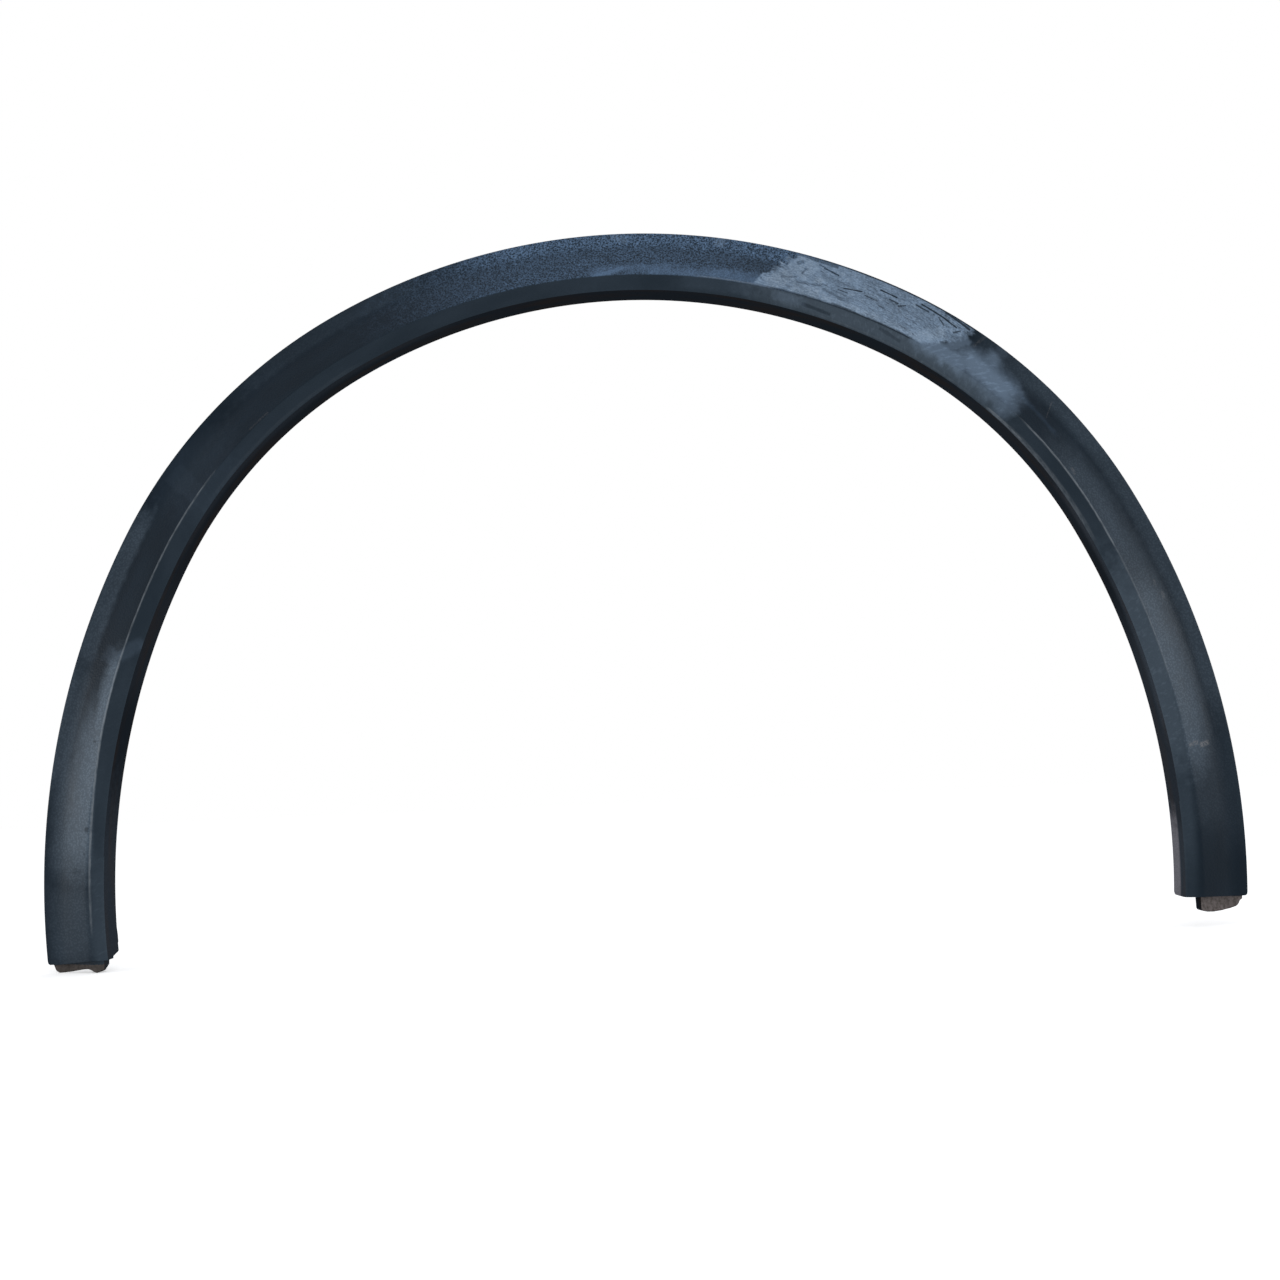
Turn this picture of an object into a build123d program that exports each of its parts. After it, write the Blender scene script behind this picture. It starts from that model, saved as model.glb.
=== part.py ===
from build123d import *
import os
from math import acos, cos, degrees, hypot, radians, sin, sqrt

# Wheel arch trim: the moulded lip that covers the edge of a car's wheel opening.
#
# Frame: X along the car, Y into the car, Z up. The body panel is the plane Y = 0 and the face that
# shows looks along -Y. The origin is the root of the locating pin at the top of the arch.
# Millimetres and degrees. A heading is the way the outer edge faces, turned from straight up,
# with plus to the right. A section has its own axes: inset, measured inwards from the outer edge,
# and depth, measured into the car from the body panel.

# Outline of the outer edge: tangent arcs, alike on both sides of the top
TOP_RADIUS = 473.0
TOP_END_HEADING = 28.6
SHOULDER_RADIUS = 390.0
SHOULDER_END_HEADING = 63.0
LEG_RADIUS = 576.0
LEFT_DROP = 546.0
RIGHT_DROP = 530.5

# Section of the moulding
WALL = 2.5
LIP_HEIGHT = 2.0
LIP_RADIUS = 0.9
SEAT_WIDTH = 6.0
SEAT_STEP = 0.8
MARGIN_WIDTH = 13.0
MARGIN_HEIGHT = 4.5
MARGIN_RADIUS = 18.0
BAND_WIDTH = 50.5
BAND_HEIGHT = 11.6
INNER_BAND_WIDTH = 11.0
RIDGE_HEIGHT = 18.0
RIDGE_RADIUS = 0.8
ROLL_RADIUS = 4.0
FLANGE_LEAN = 1.9
FLANGE_REACH = 14.0

# Both legs end in a softer section, without the crisp ridge
FADE_START_HEADING = 76.0
END_RIDGE_HEIGHT = 17.0
END_RIDGE_RADIUS = 13.0
END_BAND_HEIGHT = 13.0
FADE_STEPS = 6
END_OVERRUN = 4.0

# Cut ends of the legs
END_WALL = 2.5
INNER_CORNER_WIDTH = 5.0
INNER_CORNER_HEIGHT = 8.0
OUTER_CORNER_WIDTH = 2.0
OUTER_CORNER_HEIGHT = 3.0

# Tab on the edge of the flange, low on the left leg
TAB_START = 9.0
TAB_LENGTH = 22.0
TAB_REACH = 3.0
TAB_ROOT = 2.5
TAB_SLANT = 8.0
TAB_WALL = 1.8

# Tongues that slip behind the trim pieces below
TONGUE_WALL = 2.0
TONGUE_GAP = 0.6
RIGHT_TONGUE_START = 6.0
RIGHT_TONGUE_END = 37.0
RIGHT_TONGUE_LENGTH = 11.0
RIGHT_TONGUE_SLANT = 4.0
RIGHT_TONGUE_TAPER = 3.5
RIGHT_TONGUE_RADIUS = 4.0
LEFT_TONGUE_START = 6.5
LEFT_TONGUE_END = 43.5
LEFT_TONGUE_LENGTH = 6.0
LEFT_TONGUE_LOBE = 12.3
LEFT_TONGUE_DIP = 2.0
LEFT_TONGUE_OUTER_TAPER = 2.0
LEFT_TONGUE_INNER_TAPER = 4.0
LEFT_TONGUE_RADIUS = 2.0

# Hidden side: ribs, clip towers and the locating pin stand in a row behind the ridge
FIXING_INSET = 31.0
FIXING_RECESS = 2.0
RIB_THICKNESS = 1.4
FIRST_CLIP_DISTANCE = 90.0
CLIP_SPACING = 165.0
CLIPS_PER_SIDE = 5
RIBS_PER_BAY = 2
TOWER_WIDTH = 17.0
TOWER_LENGTH = 20.0
TOWER_WALL = 1.6
PLATE_THICKNESS = 2.0
SLOT_CLEARANCE = 0.2
PIN_RADIUS = 3.5
PIN_LENGTH = 8.0
PIN_POINT_LENGTH = 2.5
PIN_POINT_RADIUS = 2.0
BOSS_RADIUS = 6.0
BOSS_RIB_LENGTH = 30.0

# Push clip: foot, neck, sealing collar and an arrow head with two springy barbs
CLIP_SEAT_CLEARANCE = 0.15
CLIP_FOOT_WIDTH = 12.0
CLIP_FOOT_THICKNESS = 1.8
CLIP_FOOT_CHAMFER = 2.0
CLIP_NECK_WIDTH = 6.0
CLIP_COLLAR_RADIUS = 8.0
CLIP_COLLAR_THICKNESS = 1.2
CLIP_HEAD_THICKNESS = 5.0
CLIP_STEM_WIDTH = 2.4
CLIP_BARB_WIDTH = 9.6
CLIP_BARB_WALL = 1.3
CLIP_BARB_FOOT = 1.6
CLIP_BARB_PEAK = 5.0
CLIP_BARB_PULL_IN = 1.2
CLIP_POINT_THICKNESS = 3.9
CLIP_HEAD_LENGTH = 15.5


def next_centre(centre, heading, change):
    """Centre of the arc that goes on from another at a heading, with its radius smaller by change."""
    turn = radians(heading)
    return (centre[0] + change * sin(turn), centre[1] + change * cos(turn))


# Places that follow from the sizes
TOP_CENTRE = (0.0, FIXING_INSET - TOP_RADIUS)
SHOULDER_CENTRE = next_centre(TOP_CENTRE, TOP_END_HEADING, TOP_RADIUS - SHOULDER_RADIUS)
LEG_CENTRE = next_centre(SHOULDER_CENTRE, SHOULDER_END_HEADING, SHOULDER_RADIUS - LEG_RADIUS)
LEFT_END = FIXING_INSET - LEFT_DROP
RIGHT_END = FIXING_INSET - RIGHT_DROP
RIDGE_INSET = BAND_WIDTH - INNER_BAND_WIDTH
FLANGE_TIP_INSET = BAND_WIDTH - FLANGE_LEAN

# Half the size of a cutter, large enough to take in all of a section
CUTTER_REACH = 2 * BAND_WIDTH


def edge_point(heading):
    """Point of the outer edge that faces a heading."""
    turn = abs(heading)
    side = -1.0 if heading < 0 else 1.0
    centre, radius = LEG_CENTRE, LEG_RADIUS
    if turn <= TOP_END_HEADING:
        centre, radius = TOP_CENTRE, TOP_RADIUS
    elif turn <= SHOULDER_END_HEADING:
        centre, radius = SHOULDER_CENTRE, SHOULDER_RADIUS
    across = centre[0] + radius * sin(radians(turn))
    up = centre[1] + radius * cos(radians(turn))
    return Vector(side * across, 0.0, up)


def heading_at(distance):
    """Heading of the outer edge at a distance from the top, measured along the edge."""
    top_run = TOP_RADIUS * radians(TOP_END_HEADING)
    shoulder_run = SHOULDER_RADIUS * radians(SHOULDER_END_HEADING - TOP_END_HEADING)
    if distance <= top_run:
        return degrees(distance / TOP_RADIUS)
    if distance <= top_run + shoulder_run:
        return TOP_END_HEADING + degrees((distance - top_run) / SHOULDER_RADIUS)
    return SHOULDER_END_HEADING + degrees((distance - top_run - shoulder_run) / LEG_RADIUS)


def heading_at_height(height):
    """Heading of a leg's outer edge at a height, without its side."""
    return degrees(acos((height - LEG_CENTRE[1]) / LEG_RADIUS))


def inwards(heading):
    """Direction from the outer edge to the inner one."""
    turn = radians(heading)
    return Vector(-sin(turn), 0.0, -cos(turn))


def onwards(heading):
    """Direction along the arch, clockwise as seen from outside the car."""
    turn = radians(heading)
    return Vector(cos(turn), 0.0, -sin(turn))


def section_plane(heading):
    """Plane across the moulding: its x is the inset, its y the depth."""
    return Plane(origin=edge_point(heading), x_dir=inwards(heading), z_dir=onwards(heading))


def edge_path(start, end):
    """The outer edge between two headings, one arc after another."""
    ends = [-SHOULDER_END_HEADING, -TOP_END_HEADING, TOP_END_HEADING, SHOULDER_END_HEADING]
    stops = [start] + [heading for heading in ends if start < heading < end] + [end]
    arcs = []
    for first, last in zip(stops, stops[1:]):
        middle = (first + last) / 2
        arcs.append(Edge.make_three_point_arc(edge_point(first), edge_point(middle), edge_point(last)))
    return Wire(arcs)


def crossing(start, along, other_start, other_along):
    """Point where two lines of a section meet."""
    gap = other_start - start
    rise = gap.X * other_along.Y - gap.Y * other_along.X
    spread = along.X * other_along.Y - along.Y * other_along.X
    return start + along * (rise / spread)


def shifted_lines(points, distance):
    """The straight runs of an outline moved to its hidden side, each as a point and a direction."""
    lines = []
    for start, end in zip(points, points[1:]):
        along = (end - start).normalized()
        lines.append((start + Vector(-along.Y, along.X) * distance, along))
    return lines


def level(depth):
    """A line of a section at one depth."""
    return (Vector(0.0, depth), Vector(1.0, 0.0))


def blend(crisp, soft, softness):
    """A size between the crisp and the soft section's."""
    return crisp + (soft - crisp) * softness


def face_outline(softness):
    """Corners of the section's outside, from the lip over the ridge to the flange's tip."""
    lip = Vector(0.0, -LIP_HEIGHT)
    margin = Vector(MARGIN_WIDTH, -MARGIN_HEIGHT)
    ridge = Vector(RIDGE_INSET, -blend(RIDGE_HEIGHT, END_RIDGE_HEIGHT, softness))
    roll = Vector(BAND_WIDTH, -blend(BAND_HEIGHT, END_BAND_HEIGHT, softness))
    tip = Vector(FLANGE_TIP_INSET, FLANGE_REACH)
    return [lip, margin, ridge, roll, tip]


def skin_section(heading, softness):
    """Section of the moulding's wall at a heading."""
    ridge_radius = blend(RIDGE_RADIUS, END_RIDGE_RADIUS, softness)
    outside = face_outline(softness)
    ramp, band, flange = shifted_lines(outside, WALL)[1:]
    tip_end = outside[-1] + (flange[0] - outside[-2])
    inside = [
        tip_end,
        crossing(*band, *flange),
        crossing(*ramp, *band),
        crossing(*level(-SEAT_STEP), *ramp),
        Vector(SEAT_WIDTH, -SEAT_STEP),
        Vector(SEAT_WIDTH, 0.0),
        Vector(0.0, 0.0),
    ]
    radii = [LIP_RADIUS, MARGIN_RADIUS, ridge_radius, ROLL_RADIUS, 0] + [0] * len(inside)
    outline = FilletPolyline(*outside, *inside, radius=radii, close=True)
    return section_plane(heading) * make_face(outline)


def core_outline(softness, inset):
    """Outline of the hollow behind the face, a distance under the outside and short of the body."""
    ramp, band, flange = shifted_lines(face_outline(softness), inset)[1:]
    floor = level(-FIXING_RECESS)
    return Polyline(
        crossing(*floor, *ramp),
        crossing(*ramp, *band),
        crossing(*band, *flange),
        crossing(*floor, *flange),
        close=True,
    )


def core_section(heading, softness):
    """Section that ribs and towers fill, which ends inside the wall."""
    return section_plane(heading) * make_face(core_outline(softness, WALL / 2))


def along_arch(section):
    """A solid with one section over the arch, which goes over to the softer one down each leg."""
    left_end = -heading_at_height(LEFT_END) - END_OVERRUN
    right_end = heading_at_height(RIGHT_END) + END_OVERRUN
    path = edge_path(-FADE_START_HEADING, FADE_START_HEADING)
    solid = sweep(section(-FADE_START_HEADING, 0.0), path)
    for start, end in ((-FADE_START_HEADING, left_end), (FADE_START_HEADING, right_end)):
        sections = []
        for step in range(FADE_STEPS + 1):
            share = step / FADE_STEPS
            softness = share * share * (3 - 2 * share)
            sections.append(section(start + (end - start) * share, softness))
        solid += loft(sections)
    return solid


def leg_across(inset, height):
    """Distance of a leg from the middle of the arch, at an inset from its outer edge and a height."""
    return LEG_CENTRE[0] + sqrt((LEG_RADIUS - inset) ** 2 - (height - LEG_CENTRE[1]) ** 2)


def below(side, height):
    """Block that takes in all of one leg under a height."""
    size = 2 * CUTTER_REACH
    block = Box(size, size, size, align=(Align.CENTER, Align.CENTER, Align.MAX))
    return Pos(side * leg_across(0.0, height), 0.0, height) * block


def end_corner(across, height, towards, corner_width, corner_height):
    """All that lies under the slanted corner of a cut end, seen from outside the car."""
    x_dir = (towards, 0.0, 0.0)
    corner = Plane(origin=(across, 0.0, height), x_dir=x_dir, z_dir=(0.0, -towards, 0.0))
    slope = corner_height / corner_width
    outline = Polyline(
        (-CUTTER_REACH, corner_height + CUTTER_REACH * slope),
        (-CUTTER_REACH, -CUTTER_REACH),
        (corner_width + CUTTER_REACH / slope, -CUTTER_REACH),
        close=True,
    )
    return extrude(corner * make_face(outline), amount=CUTTER_REACH, both=True)


def inner_corner(side, height, cover):
    """The slanted corner at the inner edge of a cut end, moved up by the thickness of a cover."""
    slant = cover * hypot(INNER_CORNER_WIDTH, INNER_CORNER_HEIGHT)
    width = INNER_CORNER_WIDTH + slant / INNER_CORNER_HEIGHT
    rise = INNER_CORNER_HEIGHT + slant / INNER_CORNER_WIDTH
    return end_corner(side * leg_across(BAND_WIDTH, height), height, side, width, rise)


def outer_corner(side, height):
    """The slanted corner at the outer edge of a cut end."""
    edge = side * leg_across(0.0, height)
    return end_corner(edge, height, -side, OUTER_CORNER_WIDTH, OUTER_CORNER_HEIGHT)


def flange_tab():
    """Thin tab that stands on the flange's edge, slanted at its upper end."""
    heading = -heading_at_height(LEFT_END + TAB_START + TAB_LENGTH / 2)
    middle = FLANGE_TIP_INSET - WALL / 2
    origin = edge_point(heading) + inwards(heading) * middle
    plane = Plane(origin=origin, x_dir=-onwards(heading), z_dir=inwards(heading))
    half = TAB_LENGTH / 2
    outline = Polyline(
        (-half, FLANGE_REACH - TAB_ROOT),
        (half, FLANGE_REACH - TAB_ROOT),
        (half, FLANGE_REACH + TAB_REACH),
        (TAB_SLANT - half, FLANGE_REACH + TAB_REACH),
        (-half, FLANGE_REACH),
        close=True,
    )
    return extrude(plane * make_face(outline), amount=TAB_WALL / 2, both=True)


def fixing_plane(heading):
    """Plane of the body panel at a fixing: x inwards across the moulding, z into the car."""
    origin = edge_point(heading) + inwards(heading) * FIXING_INSET
    return Plane(origin=origin, x_dir=inwards(heading), z_dir=(0.0, 1.0, 0.0))


def tower_walls(heading):
    """Three walls of a clip tower, down to the face; the end that looks down the leg is open."""
    down = -TOWER_WALL if heading > 0 else TOWER_WALL
    outer = Rectangle(TOWER_WIDTH + 2 * TOWER_WALL, TOWER_LENGTH)
    walls = outer - Pos(0.0, down) * Rectangle(TOWER_WIDTH, TOWER_LENGTH)
    return extrude(fixing_plane(heading) * walls, amount=-RIDGE_HEIGHT)


def tower_plate(heading):
    """Plate on a clip tower, with the slot that a clip's neck slides along."""
    side = 1.0 if heading > 0 else -1.0
    slot_width = CLIP_NECK_WIDTH + 2 * SLOT_CLEARANCE
    slot = Pos(0.0, side * (slot_width - TOWER_LENGTH) / 2) * Rectangle(slot_width, TOWER_LENGTH)
    plate = Rectangle(TOWER_WIDTH + 2 * TOWER_WALL, TOWER_LENGTH) - slot
    return extrude(fixing_plane(heading).offset(-FIXING_RECESS) * plate, amount=-PLATE_THICKNESS)


def rib(heading):
    """Thin wall across the hollow."""
    slab = Pos(BAND_WIDTH / 2, -RIDGE_HEIGHT / 2) * Rectangle(BAND_WIDTH, RIDGE_HEIGHT)
    return extrude(section_plane(heading) * slab, amount=RIB_THICKNESS / 2, both=True)


def locating_pin():
    """Boss that seats on the body panel, with the pin that enters it."""
    foot = -FIXING_RECESS - PLATE_THICKNESS
    tip = PIN_LENGTH + PIN_POINT_LENGTH
    outline = Polyline(
        (0.0, foot),
        (BOSS_RADIUS, foot),
        (BOSS_RADIUS, 0.0),
        (PIN_RADIUS, 0.0),
        (PIN_RADIUS, PIN_LENGTH),
        (PIN_POINT_RADIUS, tip),
        (0.0, tip),
        close=True,
    )
    return revolve(make_face(outline), Axis.Y)


def boss_walls():
    """What carries the locating pin: its boss down to the face, and a rib each way."""
    boss = extrude(fixing_plane(0.0) * Circle(BOSS_RADIUS), amount=-RIDGE_HEIGHT)
    long_rib = Rectangle(RIB_THICKNESS, BOSS_RIB_LENGTH)
    return boss + extrude(fixing_plane(0.0) * long_rib, amount=-RIDGE_HEIGHT) + rib(0.0)


def tongue(side, height, start, end, lower_outline, pocket_depth):
    """Hollow tongue under a cut end, open at the back, which follows the face inside its wall."""
    origin = (side * leg_across(0.0, height), 0.0, height)
    foot = Plane(origin=origin, x_dir=(-side, 0.0, 0.0), z_dir=(0.0, 0.0, -side))
    front = Plane(origin=origin, x_dir=(-side, 0.0, 0.0), z_dir=(0.0, side, 0.0))
    outer_inset = WALL + TONGUE_GAP
    middle = Pos((start + end) / 2, 0.0)
    outer_span = middle * Rectangle(end - start, 2 * CUTTER_REACH)
    inner_span = middle * Rectangle(end - start - 2 * TONGUE_WALL, 2 * CUTTER_REACH)
    outer = make_face(core_outline(1.0, outer_inset)) & outer_span
    inner = make_face(core_outline(1.0, outer_inset + TONGUE_WALL)) & inner_span
    block = extrude(foot * outer, amount=CUTTER_REACH, both=True)
    shadow = extrude(front * make_face(lower_outline), amount=CUTTER_REACH, both=True)
    pocket = extrude(foot * inner, amount=side * pocket_depth)
    return (block & shadow) - pocket


def right_tongue():
    """Right tongue: tapered, with its lower edge slanted."""
    shallow = RIGHT_TONGUE_LENGTH - RIGHT_TONGUE_SLANT
    outline = FilletPolyline(
        (RIGHT_TONGUE_START, END_WALL),
        (RIGHT_TONGUE_START, -shallow),
        (RIGHT_TONGUE_END - RIGHT_TONGUE_TAPER, -RIGHT_TONGUE_LENGTH),
        (RIGHT_TONGUE_END, END_WALL),
        radius=[0, RIGHT_TONGUE_RADIUS, RIGHT_TONGUE_RADIUS, 0],
        close=True,
    )
    pocket_depth = shallow - TONGUE_WALL
    return tongue(1, RIGHT_END, RIGHT_TONGUE_START, RIGHT_TONGUE_END, outline, pocket_depth)


def left_tongue():
    """Left tongue: shallow, with a dip between two lobes."""
    shallow = LEFT_TONGUE_LENGTH - LEFT_TONGUE_DIP
    lower = [
        (LEFT_TONGUE_START + LEFT_TONGUE_OUTER_TAPER, -LEFT_TONGUE_LENGTH),
        (LEFT_TONGUE_START + LEFT_TONGUE_LOBE, -LEFT_TONGUE_LENGTH),
        ((LEFT_TONGUE_START + LEFT_TONGUE_END) / 2, -shallow),
        (LEFT_TONGUE_END - LEFT_TONGUE_LOBE, -LEFT_TONGUE_LENGTH),
        (LEFT_TONGUE_END - LEFT_TONGUE_INNER_TAPER, -LEFT_TONGUE_LENGTH),
    ]
    outline = FilletPolyline(
        (LEFT_TONGUE_START, END_WALL),
        *lower,
        (LEFT_TONGUE_END, END_WALL),
        radius=[0] + [LEFT_TONGUE_RADIUS] * len(lower) + [0],
        close=True,
    )
    pocket_depth = shallow - TONGUE_WALL
    return tongue(-1, LEFT_END, LEFT_TONGUE_START, LEFT_TONGUE_END, outline, pocket_depth)


def clip_head():
    """Arrow head of a clip: a stem with a barb on each side, joined at the point."""
    stem = CLIP_STEM_WIDTH / 2
    peak = CLIP_BARB_WIDTH / 2
    foot = peak - CLIP_BARB_PULL_IN
    half = [
        (stem, CLIP_SEAT_CLEARANCE - FIXING_RECESS),
        (stem, CLIP_HEAD_LENGTH - CLIP_POINT_THICKNESS),
        (peak - CLIP_BARB_WALL, CLIP_BARB_PEAK),
        (foot - CLIP_BARB_WALL, CLIP_BARB_FOOT),
        (foot, CLIP_BARB_FOOT),
        (peak, CLIP_BARB_PEAK),
        (stem, CLIP_HEAD_LENGTH),
    ]
    mirrored = [(-across, depth) for across, depth in reversed(half)]
    outline = make_face(Polyline(*half, *mirrored, close=True))
    return extrude(Plane.XZ * outline, CLIP_HEAD_THICKNESS / 2, both=True)


def push_clip():
    """Clip about the Z axis, with its point up and the body panel at Z = 0."""
    foot_top = -FIXING_RECESS - PLATE_THICKNESS - CLIP_SEAT_CLEARANCE
    collar_foot = -FIXING_RECESS + CLIP_SEAT_CLEARANCE
    square = Rectangle(CLIP_FOOT_WIDTH, CLIP_FOOT_WIDTH)
    foot = chamfer(square.vertices(), CLIP_FOOT_CHAMFER)
    neck = Rectangle(CLIP_NECK_WIDTH, CLIP_NECK_WIDTH)
    collar = Circle(CLIP_COLLAR_RADIUS)
    clip = extrude(Pos(0.0, 0.0, foot_top) * foot, amount=-CLIP_FOOT_THICKNESS)
    clip += extrude(Pos(0.0, 0.0, foot_top) * neck, amount=collar_foot - foot_top)
    clip += extrude(Pos(0.0, 0.0, collar_foot) * collar, amount=CLIP_COLLAR_THICKNESS)
    return clip + clip_head()


def fixing_headings():
    """Headings of the clips, from the last on the left to the last on the right."""
    right = []
    for clip in range(CLIPS_PER_SIDE):
        right.append(heading_at(FIRST_CLIP_DISTANCE + clip * CLIP_SPACING))
    return [-heading for heading in reversed(right)] + right


def rib_headings():
    """Headings of the ribs: one between the pin and the first clip, then some in each bay."""
    distances = [FIRST_CLIP_DISTANCE / 2]
    for bay in range(CLIPS_PER_SIDE - 1):
        for number in range(RIBS_PER_BAY):
            share = (number + 1) / (RIBS_PER_BAY + 1)
            distances.append(FIRST_CLIP_DISTANCE + (bay + share) * CLIP_SPACING)
    right = [heading_at(distance) for distance in distances]
    return [-heading for heading in right] + right


def arch_moulding():
    """The whole moulding, one piece of plastic."""
    ends = ((-1, LEFT_END), (1, RIGHT_END))
    walls = [boss_walls()]
    walls += [tower_walls(heading) for heading in fixing_headings()]
    walls += [rib(heading) for heading in rib_headings()]
    for side, height in ends:
        walls += [below(side, height + END_WALL), inner_corner(side, height, END_WALL)]
    moulding = along_arch(skin_section) + (along_arch(core_section) & (Part() + walls))
    moulding += flange_tab()
    for side, height in ends:
        moulding -= below(side, height)
        moulding -= inner_corner(side, height, 0.0)
        moulding -= outer_corner(side, height)
    moulding += [tower_plate(heading) for heading in fixing_headings()]
    moulding += [locating_pin(), left_tongue(), right_tongue()]
    return moulding


def push_clips():
    """All the clips, each in its tower."""
    clip = push_clip()
    return Compound(children=[fixing_plane(heading).location * clip for heading in fixing_headings()])


os.makedirs("parts", exist_ok=True)
export_step(arch_moulding(), "parts/arch_moulding.step")
export_step(push_clips(), "parts/push_clips.step")
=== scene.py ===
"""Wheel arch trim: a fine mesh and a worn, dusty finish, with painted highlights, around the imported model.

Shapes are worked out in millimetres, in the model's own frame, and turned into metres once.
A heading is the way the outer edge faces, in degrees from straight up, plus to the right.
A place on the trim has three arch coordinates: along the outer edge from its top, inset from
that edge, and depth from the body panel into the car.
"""
import logging
import math
from dataclasses import dataclass, field
from enum import Enum
from functools import reduce
from typing import ClassVar, NamedTuple

import bmesh
import bpy
import numpy as np
from mathutils import Matrix, Vector


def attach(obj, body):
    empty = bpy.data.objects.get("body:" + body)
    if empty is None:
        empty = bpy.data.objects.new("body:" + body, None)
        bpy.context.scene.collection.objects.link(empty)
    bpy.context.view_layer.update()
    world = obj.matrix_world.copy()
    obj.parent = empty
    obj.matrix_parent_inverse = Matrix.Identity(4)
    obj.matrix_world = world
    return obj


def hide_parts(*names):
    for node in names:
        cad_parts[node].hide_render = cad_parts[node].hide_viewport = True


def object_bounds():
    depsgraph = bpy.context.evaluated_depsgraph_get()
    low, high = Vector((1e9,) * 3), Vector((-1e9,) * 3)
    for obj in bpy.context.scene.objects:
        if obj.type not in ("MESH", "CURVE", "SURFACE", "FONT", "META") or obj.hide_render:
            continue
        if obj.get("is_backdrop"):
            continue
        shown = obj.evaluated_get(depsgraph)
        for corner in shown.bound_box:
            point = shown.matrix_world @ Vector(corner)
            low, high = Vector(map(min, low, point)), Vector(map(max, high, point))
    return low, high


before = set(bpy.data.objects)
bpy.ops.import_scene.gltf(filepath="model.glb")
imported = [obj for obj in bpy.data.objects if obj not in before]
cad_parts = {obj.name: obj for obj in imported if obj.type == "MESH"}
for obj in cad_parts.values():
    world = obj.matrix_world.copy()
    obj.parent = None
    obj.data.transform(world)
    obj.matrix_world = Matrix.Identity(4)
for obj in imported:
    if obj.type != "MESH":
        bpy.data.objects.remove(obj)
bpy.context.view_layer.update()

log = logging.getLogger("wheel_arch_trim")

MM = 0.001
ARCH_ATTRIBUTE = "arch"
MUD_ATTRIBUTE = "mud"
SHARP_ANGLE = math.radians(35.0)
BEVEL_STEPS = 2
ROUND_PROFILE = 0.5
NUMBER = "NodeSocketFloat"
VECTOR = "NodeSocketVector"
WHITE = (1.0, 1.0, 1.0, 1.0)

Point = tuple[float, float]
Place = tuple[float, float, float]
Colour = tuple[float, float, float, float]
Line = tuple[np.ndarray, np.ndarray]
Socket = bpy.types.NodeSocket
Value = Socket | float | tuple[float, ...]


class Side(Enum):
    """Side of the arch, as seen from outside the car."""

    LEFT = -1
    RIGHT = 1


class Arc(NamedTuple):
    """Arc of the outer edge: its first heading, its centre, its radius, and how far along it starts."""

    start: float
    across: float
    up: float
    radius: float
    run: float


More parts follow.
